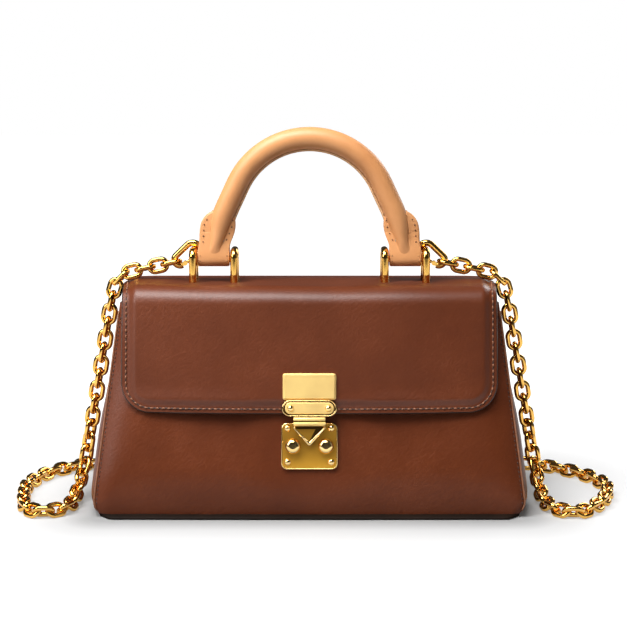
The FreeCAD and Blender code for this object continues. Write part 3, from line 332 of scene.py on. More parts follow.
# Building blocks
STITCH_SIDES = 8
STITCH_SHARES = (-0.5, -0.36, 0.0, 0.36, 0.5)


def new_object(name, data):
    obj = bpy.data.objects.new(name, data)
    bpy.context.scene.collection.objects.link(obj)
    return obj


def piece(name, verts, faces, body, mats, replaces=(), indices=None):
    """A mesh piece from points in millimetres, riding on a body."""
    mesh = bpy.data.meshes.new(name)
    mesh.from_pydata([(x * MM, y * MM, z * MM) for x, y, z in verts], [], faces)
    mesh.update()
    for mat in mats:
        mesh.materials.append(mat)
    mesh.polygons.foreach_set("use_smooth", [True] * len(mesh.polygons))
    if indices:
        mesh.polygons.foreach_set("material_index", indices)
    obj = new_object(name, mesh)
    if body:
        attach(obj, body)
    if replaces:
        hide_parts(*replaces)
    return obj


def bands(rings, around, first=0, closed=False):
    """Faces between neighbouring rings; closed joins the last to the first."""
    faces = []
    for r in range(rings if closed else rings - 1):
        here, there = first + r * around, first + (r + 1) % rings * around
        for k in range(around):
            n = (k + 1) % around
            faces.append((here + k, here + n, there + n, there + k))
    return faces


def capped(rings, around, first=0):
    """The faces of a closed tube through rings of points."""
    last = first + (rings - 1) * around
    ends = [tuple(range(first + around - 1, first - 1, -1)), tuple(range(last, last + around))]
    return bands(rings, around, first) + ends


def rings_piece(name, rings, body, mats, replaces=()):
    """A closed piece through rings of points."""
    verts = [p for ring in rings for p in ring]
    return piece(name, verts, capped(len(rings), len(rings[0])), body, mats, replaces)


def sheet_piece(name, outer, inner, body, mats, replaces=(), bulge=0.4, reverse=False):
    """A closed sheet between two grids, its edges rounded in the second material."""
    if reverse:
        outer, inner = ([row[::-1] for row in grid] for grid in (outer, inner))
    rows, cols = len(outer), len(outer[0])
    verts = [p for grid in (outer, inner) for row in grid for p in row]
    size = rows * cols
    faces, indices = [], []
    for r in range(rows - 1):
        for c in range(cols - 1):
            a, b = r * cols + c, r * cols + c + 1
            d, e = a + cols, b + cols
            faces += [(a, b, e, d), (size + d, size + e, size + b, size + a)]
            indices += [0, 0 if len(mats) < 3 else 2]
    ring = [(0, c) for c in range(cols)] + [(r, cols - 1) for r in range(1, rows)]
    ring += [(rows - 1, c) for c in range(cols - 2, -1, -1)] + [(r, 0) for r in range(rows - 2, 0, -1)]
    middle, count = len(verts), len(ring)
    for r, c in ring:
        o, i = Vector(outer[r][c]), Vector(inner[r][c])
        through = (i - o).normalized()
        out = o - Vector(outer[clamp(r, 1, rows - 2)][clamp(c, 1, cols - 2)])
        out -= through * out.dot(through)
        out = out.normalized() if out.length > 1e-6 else out
        verts.append((o + i) / 2 + out * bulge)
    for k in range(count):
        n = (k + 1) % count
        a, b = (r * cols + c for r, c in (ring[k], ring[n]))
        faces += [(b, a, middle + k, middle + n), (middle + n, middle + k, size + a, size + b)]
        indices += [1, 1]
    return piece(name, verts, faces, body, mats, replaces, indices)


def heading(points, i):
    """The direction of a line at one of its points."""
    return (points[min(i + 1, len(points) - 1)] - points[max(i - 1, 0)]).normalized()


def tube(name, points, radii, body, mats, replaces=(), side=(0, 1, 0), around=20, shape=lambda s: 1.0):
    """A closed tube along points; radii are one pair (in-plane, along side) or a list of pairs."""
    points = [Vector(p) for p in points]
    radii = radii if isinstance(radii, list) else [radii] * len(points)
    rings = []
    for i, p in enumerate(points):
        along = heading(points, i)
        wide = Vector(side)
        wide = (wide - along * wide.dot(along)).normalized()
        flat = wide.cross(along)
        a, b = radii[i]
        rings.append([p + flat * (a * shape(s) * c) + wide * (b * shape(s) * s) for c, s in circle(around)])
    return rings_piece(name, rings, body, mats, replaces)


def stations(points):
    """The distance of each point along its line."""
    total = [0.0]
    for a, b in zip(points, points[1:]):
        total.append(total[-1] + (b - a).length)
    return total


def walk(total, distances):
    """For rising distances along a line: the stretch and the share of it gone by."""
    step = 0
    for distance in distances:
        while step < len(total) - 2 and total[step + 1] < distance:
            step += 1
        yield step, (distance - total[step]) / max(total[step + 1] - total[step], 1e-9)


def divided(points, count):
    """Points at equal distances along a line."""
    total = stations(points)
    distances = [total[-1] * i / count for i in range(count + 1)]
    return [points[k].lerp(points[k + 1], clamp(part)) for k, part in walk(total, distances)]


def stitches(name, path, body, mat, pitch, length, radius, sink):
    """Stitches along [(point, normal), ...]: short threads that dip in at both ends."""
    verts, faces = [], []
    points, normals = ([Vector(pair[i]) for pair in path] for i in (0, 1))
    total = stations(points)
    number = int(total[-1] / pitch)
    distances = [(i + 0.5) * total[-1] / number for i in range(number)]
    for step, part in walk(total, distances):
        p = points[step].lerp(points[step + 1], part)
        n = normals[step].lerp(normals[step + 1], part).normalized()
        t = (points[step + 1] - points[step]).normalized()
        across = n.cross(t).normalized()
        first = len(verts)
        for share in STITCH_SHARES:
            drop = abs(share * 2) ** 4
            thick = radius * sqrt(max(0.05, 1.0 - abs(share * 2) ** 3))
            centre = p + t * (share * length) + n * (radius - sink - drop * radius * 1.6)
            verts += [centre + across * (thick * c) + n * (thick * s) for c, s in circle(STITCH_SIDES)]
        faces += capped(len(STITCH_SHARES), STITCH_SIDES, first)
    return piece(name, verts, faces, body, [mat])


def spread(count):
    """Places from -1 to 1 that crowd towards both ends."""
    return [sin(pi / 2 * (2 * i / (count - 1) - 1)) for i in range(count)]


def levels(low, high, count, crowd=1.6):
    """Heights from low to high that crowd towards the low end."""
    return [between(low, high, (i / (count - 1)) ** crowd) for i in range(count)]


def arc(cx, cy, radius, first, last, steps):
    """Points (x, y) along an arc, with both of its ends."""
    angles = [first + (last - first) * i / steps for i in range(steps + 1)]
    return [(cx + radius * cos(angle), cy + radius * sin(angle)) for angle in angles]


def circle(count):
    return arc(0.0, 0.0, 1.0, 0.0, 2 * pi, count)[:-1]


def stadium_line(run, radius):
    """Points of two half circles, joined by straight runs."""
    return arc(run, 0.0, radius, -pi / 2, pi / 2, 16) + arc(-run, 0.0, radius, pi / 2, pi * 1.5, 16)


def ripple(x, y, z, seed, scale, height):
    return height * noise.noise(Vector((x / scale + seed, y / scale, z / scale)))


# Leather walls
WALL_LOW, WALL_THICK, WALL_NARROW = 2.3, 2.3, 2.2
WALL_RIPPLE, GUSSET_RIPPLE = (26.0, 0.22), (22.0, 0.3)
BELLY = 1.1
GUSSET_LOW, GUSSET_THICK = 1.2, 1.9
GUSSET_IN, GUSSET_CREASE = 0.5, 1.2
SEAM_IN, SEAM_STEP = 1.6, 1.0


def seam_depth(z, facing):
    """How far out the side seams stand at one height."""
    return even(FRONT_SEAM if facing < 0 else BACK_SEAM, RIM_DEEP - RIM_TURN, z)


ROLL_LEAST, ROLL_GROWTH, ROLL_MOST, ROLL_POWER = 6.0, 0.36, 34.0, 2.2
LOCK_STEP, SEAM_CALM = (20.0, 22.0), 40.0
PUFF_HUMP, PRESS_HUMP = (2.0, 26.0, 26.0, 36.0), (26.0, 34.0, 64.0, 20.0)


def wall_depth(x, z, facing, belly=0.0):
    """How far the front or back stands out: pillowed, rolled at its sides and foot."""
    half = half_at(z)
    middle = even(BASE_DEEP, RIM_DEEP, z) + (FRONT_SWELL if facing < 0 else BACK_SWELL)
    fall = middle - seam_depth(z, facing)
    share = clamp(abs(x) / half)
    near = half - abs(x)
    roll = max(0.0, 1.0 - near / min(ROLL_LEAST + ROLL_GROWTH * z, ROLL_MOST)) ** ROLL_POWER
    free = step(hypot(x, z - LOCK_HEIGHT), *LOCK_STEP) * smooth(near / SEAM_CALM)
    puff = belly * free * hump(z, *PUFF_HUMP)
    pressed = free * hump(z, *PRESS_HUMP) if facing < 0 else 0.0
    return middle - fall * (0.25 * share * share + 0.75 * roll) - turned_in(z, *WALL_FOOT) + puff - pressed


def wall_point(x, z, facing):
    return (x, facing * wall_depth(x, z, facing, BELLY), z)


def wall(name, facing, top, seed):
    outer, inner = [], []
    for z in levels(WALL_LOW, top, 64):
        half = half_at(z)
        row = []
        for s in spread(101):
            x, y, _ = wall_point(half * s, z, facing)
            wave = ripple(x, 0.0, z, seed, *WALL_RIPPLE)
            row.append((x, y + facing * wave * smooth((half - abs(x)) / 8.0), z))
        outer.append(row)
        inner.append([(x * (half - WALL_NARROW) / half, y - facing * WALL_THICK, z) for x, y, _ in row])
    sheet_piece(name + "_leather", outer, inner, "bag", WALL_MATS, [name + "_panel"], 0.5,
                facing > 0)


wall("front", -1, RIM, 3.0)
wall("back", 1, BACK_TOP, 9.0)


def seam(side, facing, z, inset):
    """A place near a side seam, some way in from the edge."""
    x, y, _ = wall_point(half_at(z) - inset, z, facing)
    return Vector((side * x, y, z))


def side_out(w, z):
    """How far out a side stands; w is -1 at the front seam and 1 at the back seam."""
    return half_at(z) - GUSSET_IN + (side_bulge(z) - turned_in(z, *SIDE_FOOT)) * (1.0 - w ** 8)


CREASE_WIDTH, CREASE_STEP = 0.10, (20.0, 60.0)


def side_depth(w, z, inset):
    """How far back a place on a side is, with the seams inset."""
    return w * (seam_depth(z, -1 if w < 0 else 1) - turned_in(z, *WALL_FOOT) - inset)


for side, label in SIDES:
    outer, inner = [], []
    for z in levels(GUSSET_LOW, GUSSET_TOP, 48):
        row = []
        for w in spread(45):
            y = side_depth(w, z, 0.4)
            crease = GUSSET_CREASE * exp(-(w / CREASE_WIDTH) ** 2) * step(z, *CREASE_STEP)
            wave = ripple(0.0, y, z, 5.0 + side, *GUSSET_RIPPLE)
            row.append((side * (side_out(w, z) - crease + wave), y, z))
        outer.append(row)
        inner.append([(x - side * GUSSET_THICK, y * 0.985, z) for x, y, _ in row])
    sheet_piece("gusset_leather_" + label, outer, inner, "bag", WALL_MATS,
                ["gusset_" + label], 0.4, side < 0)
    for facing, name in FACES:
        line = [seam(side, facing, z, 0.1) for z in levels(4.0, GUSSET_TOP - 0.5, 60, 1.0)]
        where = "_%s_%s" % (name, label)
        # The seam's edge line is lighter brown: partly cut edge, partly painted highlight.
        tube("seam_edge" + where, line, (0.6, 0.9), "bag", [RAW_EDGE_AND_HIGHLIGHT], around=10)
        path = []
        for z in levels(7.0, GUSSET_TOP - 3.0, 120, 1.0):
            place = seam(side, facing, z, SEAM_IN)
            slope = (seam(side, facing, z, SEAM_IN + SEAM_STEP) - place).normalized()
            up = (seam(side, facing, z + SEAM_STEP, SEAM_IN) - place).normalized()
            normal = up.cross(slope)
            path.append((place, normal if normal.y * facing >= 0 else -normal))
        stitches("seam_stitches" + where, path, "bag", DARK_THREAD_AND_SHADE,
                 pitch=2.5, length=1.8, radius=0.34, sink=0.2)


# Base and lining: closed lines round the bag
ROW_POINTS, SIDE_STEPS = 61, 16
BASE_EDGE, BASE_END = 0.6, 0.94
LINING_LOW, LINING_HIGH = 6.0, 109.4
LINING_RIPPLE = (34.0, 0.5)
CASE_LOW, CASE_HIGH = ([c / MM for c in corner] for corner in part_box("lock_case"))
BASE_RINGS = (
    (0.0, -3.0, 2.4), (0.2, -3.8, 1.8), (0.6, -4.1, 1.4), (1.2, -3.7, 1.1),
    (1.8, -2.4, 0.9), (2.2, -0.9, 0.8), (2.4, 0.1, 0.8), (3.4, 0.9, 1.0),
)


def closed_line(row, turn):
    """Along the front, round the right, along the back, round the left."""
    places = spread(ROW_POINTS)
    turns = [turn(2.0 * k / SIDE_STEPS - 1.0) for k in range(1, SIDE_STEPS)]
    right = [row(s, -1) for s in places] + turns
    return right + [row(s, 1) for s in reversed(places)] + [(-x, y, z) for x, y, z in reversed(turns)]


def ring_line(z, inset, tuck):
    """The base's outline at one height, inset from the walls and sides."""
    half = half_at(LOW) - tuck

    def row(s, facing):
        lean = inset + (BASE_EDGE - min(inset, BASE_EDGE)) * smooth((abs(s) - BASE_END) / (1.0 - BASE_END))
        return (half * s, facing * (wall_depth(half_at(LOW) * s, LOW, facing) - lean), z)

    def turn(w):
        return (half + 0.8 * (1.0 - w ** 8), side_depth(w, LOW, max(inset, BASE_EDGE)), z)

    return closed_line(row, turn)


# The base is near-black: painted shade under the bag's foot.
rings_piece("base_leather", [ring_line(*ring) for ring in BASE_RINGS], "bag", [DARK],
            ["base_panel"])


CASE_STEP = (2.0, 14.0)


def over_case(x, y, z, clear):
    """The lining goes over the lock's case behind the front."""
    beyond = hypot(max(0.0, abs(x) - CASE_HIGH[0]), max(0.0, CASE_LOW[2] - z, z - CASE_HIGH[2]))
    return y + max(0.0, CASE_HIGH[1] + clear - y) * (1.0 - step(beyond, *CASE_STEP))


def lining_line(z, inset):
    """The lining's outline at one height."""
    half = half_at(z)

    def row(s, facing):
        wave = ripple(half * s, 0.0, z, 17.0 if facing < 0 else 29.0, *LINING_RIPPLE)
        y = facing * (wall_depth(half * s, z, facing) - inset - 0.4 + wave)
        return ((half - inset) * s, over_case(half * s, y, z, inset - 1.9) if facing < 0 else y, z)

    def turn(w):
        return (side_out(w, z) - inset, side_depth(w, z, inset), z)

    return closed_line(row, turn)


heights = levels(LINING_LOW, LINING_HIGH, 26, 1.0)
sack = [lining_line(z, 2.9) for z in heights] + [lining_line(LINING_HIGH + 0.6, 3.2)]
sack += [lining_line(z, 3.7) for z in reversed(heights[1:])] + [lining_line(LINING_LOW + 0.8, 3.9)]
bag_lining = rings_piece("bag_lining", sack, "bag", [LINING], ["lining"])


# Flap: one leather sheet from the fold at the back, over the top, down the front
OUT = Vector((0.0, -cos(LEAN), sin(LEAN)))
UPWARD = Vector((0.0, sin(LEAN), cos(LEAN)))
LOCK = Vector((0.0, -(even(BASE_DEEP, RIM_DEEP, LOCK_HEIGHT) + FRONT_SWELL), LOCK_HEIGHT))
FLAP_TURN = FLAP_ROLL * (pi / 2 - LEAN)
FOLD_START, FOLD_ROUND, FOLD_UNDER = 18.0, 1.3, 2.1
STAPLE_OUT, STAPLE_IN, LEG = 67.6, 43.7, 7.2
STAPLES = (-STAPLE_OUT, -STAPLE_IN, STAPLE_IN, STAPLE_OUT)
PAD_STEP, PAD_FROM, PAD_WIDE = 1.7, 3.0, 4.8
FLAP_RIPPLE, FLAP_CALM = (36.0, 0.42), 72.0


WRAP_START = 0.2


def flap_shape(x):
    """The front run's foot at one place across, its rise, and the roll's centre."""
    share = abs(x) / FLAP_HALF
    give = FLAP_WRAP * max(0.0, (share - WRAP_START) / (1.0 - WRAP_START)) ** 2
    at = LOCK + OUT * FLAP_OUT + Vector((x, give, 0.0))
    rise = (TOP - FLAP_ROLL * (1.0 - sin(LEAN)) - at.z) / cos(LEAN)
    return at, rise, at + UPWARD * rise - OUT * FLAP_ROLL


def flap_low(x, inset=0.0):
    """The height of the flap's lower edge at one place across."""
    corner = FLAP_CORNER - inset
    beyond = abs(x) - (FLAP_HALF - FLAP_CORNER)
    if beyond <= 0.0:
        return FLAP_BOTTOM + inset
    return FLAP_BOTTOM + FLAP_CORNER - sqrt(max(0.0, corner * corner - beyond * beyond))


def flap_length(x, inset=0.0):
    at, rise, centre = flap_shape(x)
    low = (flap_low(x, inset) - at.z) / cos(LEAN)
    return FOLD_START - centre.y + FLAP_TURN + rise - low


def flap_base(x, s):
    """The flap's plain face and its normal, s millimetres from its back."""
    at, rise, centre = flap_shape(x)
    flat = FOLD_START - centre.y
    if s < flat:
        return Vector((x, FOLD_START - s, TOP)), Vector((0.0, 0.0, 1.0))
    if s < flat + FLAP_TURN:
        angle = (s - flat) / FLAP_ROLL
        out = Vector((0.0, -sin(angle), cos(angle)))
        return centre + out * FLAP_ROLL, out
    return at + UPWARD * (rise - (s - flat - FLAP_TURN)), OUT.copy()


def flap_edge(x, z):
    """How far inside the flap's sewn edge a place is."""
    side = FLAP_HALF - abs(x)
    low = (z - FLAP_BOTTOM) / cos(LEAN) if z < TOP - FLAP_ROLL else inf
    if side < FLAP_CORNER and low < FLAP_CORNER:
        return FLAP_CORNER - hypot(FLAP_CORNER - side, FLAP_CORNER - low)
    return min(side, low)


def pad_fall(inside):
    """How far the padded face falls towards the sewn edge."""
    return PAD_STEP * (1.0 - smooth((inside - PAD_FROM) / PAD_WIDE))


DROOP, DROOP_STEP = 1.1, (96.0, 26.0)
BACK_FALL, BACK_STEP = 1.7, (1.0, 28.0)
CURL, CURL_HEIGHT, CURL_STEP = 1.4, 16.0, (22.0, 20.0)
TOP_WIDER, WIDER_STEP = 0.030, (-30.0, 46.0)
CALM_STEP, STAPLE_PRESS, STAPLE_SPREAD = (20.0, 14.0), 0.8, 120.0


def droop(x, z):
    """The flap's sides hang a little where nothing holds them up."""
    near = max(0.0, 1.0 - (FLAP_HALF - abs(x)) / 8.0)
    return DROOP * near * near * step(z, *DROOP_STEP)


def back_fall(y):
    """The top falls a little towards the fold."""
    return BACK_FALL * step(y, *BACK_STEP)


def curl(x, z):
    """The lower edge stands a little off the front, away from the lock."""
    return CURL * (1.0 - step(z, FLAP_BOTTOM, CURL_HEIGHT)) * step(abs(x), *CURL_STEP)


def widen(y):
    """The flap is a little wider over the top than down the front."""
    return 1.0 + TOP_WIDER * step(y, *WIDER_STEP)


def flap_face(x, s, depth=0.0):
    """The flap's padded face, or a layer some depth under it."""
    p, out = flap_base(x, s)
    lift = curl(x, p.z) - droop(x, p.z) - back_fall(p.y) - depth
    if depth == 0.0:
        lift -= pad_fall(flap_edge(x, p.z))
        calm = step(hypot(x, p.z - FLAP_CALM), *CALM_STEP)
        lift += calm * ripple(x, p.y, p.z, 11.0, *FLAP_RIPPLE)
        if p.z > TOP - 4.0:
            for foot in STAPLES:
                for leg in (-LEG, LEG):
                    lift -= STAPLE_PRESS * exp(-((x - foot) ** 2 + (p.y - leg) ** 2) / STAPLE_SPREAD)
    p = p + out * lift
    return Vector((p.x * widen(p.y), p.y, p.z)), out


def flap_rows(x, inset, start):
    """Distances along the flap for each row of its mesh."""
    flat = FOLD_START - flap_shape(x)[2].y
    front = flap_length(x, inset) - flat - FLAP_TURN
    rows = [between(start, flat, i / 16) for i in range(16)]
    rows += [flat + FLAP_TURN * i / 14 for i in range(14)]
    return rows + [flat + FLAP_TURN + front * (1.0 - (1.0 - i / 46) ** 1.5) for i in range(47)]


def flap_sheet(name, inset, top_depth, low_depth, mats, node, columns):
    outer, inner = [], []
    for s in spread(columns):
        x = (FLAP_HALF - inset) * s
        rows = flap_rows(x, inset, inset)
        outer.append([flap_face(x, row, top_depth)[0] for row in rows])
        inner.append([flap_face(x, row, low_depth)[0] for row in rows])
    return sheet_piece(name, outer, inner, "flap", mats, [node], 0.35)


flap_sheet("flap_leather", 0.0, 0.0, FLAP_THICK, FLAP_MATS, "flap", 121)
flap_cloth = flap_sheet("flap_lining_cloth", 2.0, FLAP_THICK + GLUE, FLAP_THICK + GLUE + CLOTH_THICK,
                        [LINING, LINING], "flap_lining", 61)


# The fold behind the flap comes forward with the back's rolled sides
outer, inner = [], []
for s in spread(101):
    x = FLAP_HALF * s
    back = FOLD_DEEP - 6.6 * max(0.0, 1.0 - (107.3 - abs(x)) / 22.0) ** 2.2
    hang = droop(x, TOP)
    edge = pad_fall(FLAP_HALF - abs(x)) + hang
    face, under = [], []
    for i in range(9):
        y = between(FOLD_START, back, i / 8)
        sink = back_fall(y)
        z = TOP - edge - sink if i else flap_face(x, 0.0)[0].z
        face.append((x * widen(y), y, z))
        under.append((x * widen(y), y, TOP - FOLD_UNDER - hang - sink * 0.6))
    top_half = FLAP_HALF * widen(back)
    low = TOP - edge - sink - FOLD_ROUND
    for i in range(1, 8):
        angle = pi / 2 * (1.0 - i / 7)
        face.append((top_half * s, back + FOLD_ROUND * cos(angle), low + FOLD_ROUND * sin(angle)))
        under.append((top_half * s, back - 0.8 * (1.0 - cos(angle)),
                      TOP - FOLD_UNDER - 0.1 - hang - sink - 0.3 * i / 7))
    for i in range(1, 10):
        part = i / 9
        z = between(low, BACK_TOP, part)
        half = half_at(z)
        x = between(top_half, half, smooth(part)) * s
        y = between(back + FOLD_ROUND, wall_point(half * s, z, 1)[1], smooth(part))
        face.append((x, y, z))
        under.append((x * 0.985, y - FOLD_UNDER, z - 0.6 * (1.0 - part)))
    outer.append(face)
    inner.append(under)
fold = sheet_piece("fold_leather", outer[::-1], inner[::-1], None, FLAP_MATS, (), 0.3)
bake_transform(fold)


def edge_path(inset):
    """A line round the flap, some way inside its edge, from right to left."""
    side = FLAP_HALF - inset
    centre, corner = FLAP_HALF - FLAP_CORNER, FLAP_BOTTOM + FLAP_CORNER
    low = flap_length(side) - (corner - flap_low(side)) / cos(LEAN)
    places = [(side, between(6.0, low, i / 59)) for i in range(60)]
    for x, z in arc(centre, corner, FLAP_CORNER - inset, 0.0, -pi / 2, 19)[1:]:
        places.append((x, flap_length(x) + (flap_low(x) - z) / cos(LEAN)))
    for i in range(1, 40):
        x = centre * (1.0 - i / 39)
        places.append((x, flap_length(x) - inset / cos(LEAN)))
    right = [flap_face(x, s) for x, s in places]
    left = [(Vector((-p.x, p.y, p.z)), n) for p, n in right]
    return right + left[::-1][1:]


THREAD_LINE = edge_path(2.1)
stitches("flap_stitches", THREAD_LINE, "flap", THREAD,
         pitch=3.3, length=2.2, radius=0.46, sink=0.10)
# A dark line under the flap's stitches: painted shade in the stitch groove.
groove = [p - n * 0.18 for p, n in THREAD_LINE]
tube("flap_stitch_groove", groove, (0.46, 0.46), "flap", [DARK_THREAD_AND_SHADE], around=8)
rim = [p - n * 1.15 for p, n in edge_path(0.15)]
tube("flap_edge_paint", rim, (0.8, 0.8), "flap", [EDGE], around=8)


# Handle: a rolled leather tube with a sewn inner seam, on two winged tabs
PIN_Y, PIN_Z = -2.7, 141.9
GRIP, CORE, GRIP_SHIFT = 6.6, 4.6, 0.3
GRIP_END, GRIP_END_DEEP = 3.75, 4.9
BEND, ARCH = 46.0, 165.6
FLARE, SPLAY = radians(25.0), radians(12.0)
EASE, RUN = 60.0, 14.0
GRIP_LOW, CORE_LOW, GROOVE_LOW, SEAM_LOW = 143.6, 153.0, 163.0, 164.0


def handle_line(end):
    """The handle's line, from the end height on the left over to the right."""
    top = arc(0.0, ARCH, BEND, FLARE, pi / 2, 28)
    knee = top[0]
    leg = (knee[0] + RUN * sin(FLARE), knee[1] - RUN * cos(FLARE))
    ease = arc(leg[0] - EASE * cos(FLARE), leg[1] - EASE * sin(FLARE), EASE, SPLAY, FLARE, 8)
    foot = ease[0]
    heights = [between(end, foot[1], i / 10) for i in range(10)]
    half = [(foot[0] + (foot[1] - z) * tan(SPLAY), z) for z in heights] + ease[:-1]
    half += [(between(leg[0], knee[0], i / 6), between(leg[1], knee[1], i / 6)) for i in range(6)] + top
    return [Vector((-x, PIN_Y, z)) for x, z in half[:-1]] + [Vector((x, PIN_Y, z)) for x, z in half[::-1]]


def offset_line(end, inward):
    """The handle's line moved towards the inside of the arch."""
    line = handle_line(end)
    ways = [heading(line, i) for i in range(len(line))]
    return [p + Vector((way.z, 0.0, -way.x)) * inward for p, way in zip(line, ways)]


SLIM_LOW, SLIM_SPAN, FLOW_TOP, FLOW_SPAN, FLOW_WIDE = 147.0, 20.0, 152.0, 8.0, 5.0


def grip_radius(z):
    """The roll is slimmer towards its ends in the tabs."""
    slim = clamp((z - SLIM_LOW) / SLIM_SPAN)
    slim = 0.5 * slim + 0.5 * smooth(slim)
    flow = clamp((FLOW_TOP - z) / FLOW_SPAN)
    full = GRIP - GRIP_SHIFT
    wide = between(GRIP_END, full, slim) + FLOW_WIDE * flow ** 2
    return wide, between(GRIP_END_DEEP, full, slim) - flow ** 1.2


line = offset_line(GRIP_LOW, -GRIP_SHIFT)
tube("handle_roll", line, [grip_radius(p.z) for p in line], "handle", [TAN], ["handle_grip"],
     around=40)
tube("handle_cord", handle_line(CORE_LOW), (CORE, CORE), "handle", [CORD], ["handle_core"])
# A dark line in the seam's groove: painted shade between the roll and the seam's lips.
line = offset_line(GROOVE_LOW, GRIP - 0.55)
tube("handle_seam_groove", line, (0.5, 1.25), "handle", [TAN_DARK], around=12)
# The seam's lips are lighter tan: partly edge tone, partly painted highlight.
for facing, label in FACES:
    line = [p + Vector((0.0, facing * 0.62, 0.0)) for p in offset_line(SEAM_LOW, GRIP - 0.1)]
    tube("handle_seam_" + label, line, (0.85, 0.52), "handle", [TAN_EDGE_AND_HIGHLIGHT], around=12)

# Handle tabs: a wing at each end of the roll, and a loop round the pin
TAB_FRONT = [(-4.3, 160.0), (-4.75, 157.0), (-5.1, 154.5), (-5.5, 152.0), (-5.95, 149.5), (-6.45, 147.0),
             (-7.0, 144.2)]
TAB_OUTLINE = [
    (46.6, 139.6), (64.7, 139.6), (64.8, 147.5), (63.9, 152.0), (63.8, 158.5), (62.6, 164.6), (58.0, 169.4),
    (50.0, 171.0), (44.0, 168.6), (42.6, 163.0), (43.3, 157.0), (46.2, 150.5), (46.4, 147.5),
]
WING_HALF = [(1.95, 0.9), (1.75, 0.35), (1.2, 0.0), (0.3, 0.05)]
WING_RINGS = WING_HALF + [(0.0, 0.35)] + [(-y, inset) for y, inset in reversed(WING_HALF)]
LOOP_RINGS = ((0.0, 0.92), (0.012, 0.97), (0.04, 1.0), (0.5, 1.0), (0.96, 1.0), (0.988, 0.97), (1.0, 0.92))
WING_STITCHES = {
    "outer": ((58.6, 166.4), (60.8, 162.7), (61.5, 156.3), (61.7, 149.8)),
    "inner": ((44.2, 166.4), (44.7, 161.3), (46.3, 157.0), (48.0, 153.4), (49.0, 151.3)),
}
LOOP_RADIUS, LOOP_MIDDLE, LOOP_FACE, LOOP_LOW = 4.48, 147.0, -7.16, 139.6
INNER_TAPER, INNER_STEP, OUTER_TAPER, OUTER_STEP = 3.0, (148.0, 12.0), 1.5, (146.0, 9.0)
LOOP_INNER, LOOP_OUTER = 46.45, 64.85
WING_FACE, WING_REACH = -4.66, 11.0
SLEEVE = GRIP + 0.9
FORWARD = Vector((0.0, -1.0, 0.0))


def tab_face(z):
    """How far forward the tab's leather stands at one height."""
    front = WING_FACE
    for (ay, az), (by, bz) in zip(TAB_FRONT, TAB_FRONT[1:]):
        if bz <= z <= az:
            front = min(front, between(ay, by, (az - z) / (az - bz)))
    return front


def softer(outline):
    """The outline with each corner cut off."""
    points = []
    for (ax, az), (bx, bz) in zip(outline, outline[1:] + outline[:1]):
        points += [(between(ax, bx, part), between(az, bz, part)) for part in (0.25, 0.75)]
    return points


wing = softer(softer(softer(TAB_OUTLINE)))
wing_x, wing_z = (sum(values) / len(wing) for values in zip(*wing))
loop = TAB_FRONT + arc(PIN_Y, PIN_Z, LOOP_RADIUS, pi, 2 * pi, 12)
loop += [(2 * PIN_Y - y, z) for y, z in reversed(TAB_FRONT)]
for side, label in SIDES:
    rings = []
    for y, inset in WING_RINGS:
        share = 1.0 - inset / WING_REACH
        ring = [(between(wing_x, x, share), between(wing_z, z, share)) for x, z in wing]
        rings.append([(side * x, PIN_Y + y, z) for x, z in ring])
    rings_piece("handle_wing_" + label, rings[::side], "handle", [TAN],
                ["handle_tab_" + label])
    rings = []
    for across, share in LOOP_RINGS:
        ring = []
        for y, z in loop:
            inner = LOOP_INNER - INNER_TAPER * step(z, *INNER_STEP)
            outer = LOOP_OUTER - OUTER_TAPER * step(z, *OUTER_STEP)
            ring.append((side * between(inner, outer, across), between(PIN_Y, y, share),
                         between(LOOP_MIDDLE, z, share)))
        rings.append(ring)
    rings_piece("handle_loop_" + label, rings[::-side], "handle", [TAN])
    back = [p for p in handle_line(152.6) if p.x * side > 0 and p.z < 169.0]
    tube("handle_sleeve_" + label, back, (SLEEVE, SLEEVE), "handle", [TAN], around=32,
         shape=lambda s: 1.0 if s > 0.1 else 0.4)
    for name, points in WING_STITCHES.items():
        path = []
        for (ax, az), (bx, bz) in zip(points, points[1:]):
            for i in range(10):
                z = between(az, bz, i / 10)
                path.append((Vector((side * between(ax, bx, i / 10), tab_face(z), z)), FORWARD))
        stitches("wing_stitches_%s_%s" % (name, label), path, "handle", TAN_HOLE,
                 pitch=3.2, length=1.1, radius=0.42, sink=0.26)
    for name, x in (("outer", 63.4), ("inner", 47.9)):
        path = [(Vector((side * x, LOOP_FACE, LOOP_LOW + 0.5 * i)), FORWARD) for i in range(13)]
        stitches("loop_stitches_%s_%s" % (name, label), path, "handle", TAN_DARK,
                 pitch=2.2, length=1.2, radius=0.26, sink=0.3)


# Chain: gold links along the strap's line, which is in metres
CHAIN_Y, CHAIN_FLOOR = 0.0033, 0.0038
HANGING = ((0.0772, 0.1395), (0.0865, 0.1376), (0.1010, 0.1346), (0.1120, 0.1318), (0.1160, 0.1185),
           (0.1196, 0.0984), (0.1255, 0.0652), (0.1312, 0.0332), (0.1346, 0.0142))
LYING = (
    (-0.1365, -0.0221), (-0.1375, -0.0432), (-0.1529, -0.0547), (-0.1640, -0.0413), (-0.1678, -0.0144),
    (-0.1700, 0.0077), (-0.1648, 0.0298), (-0.1570, 0.0451), (-0.1351, 0.0645), (-0.0967, 0.0669),
    (-0.0583, 0.0650), (0.0583, 0.0650), (0.0967, 0.0669), (0.1351, 0.0645), (0.1565, 0.0475),
    (0.1704, 0.0317), (0.1788, 0.0077), (0.1744, -0.0182), (0.1632, -0.0422), (0.1505, -0.0557),
    (0.1380, -0.0442), (0.1351, -0.0230),
)
ROUTE = [(-x, CHAIN_Y, z) for x, z in HANGING]
ROUTE += [(x, y, CHAIN_FLOOR) for x, y in LYING]
ROUTE += [(x, CHAIN_Y, z) for x, z in reversed(HANGING)]
LINKS = 125
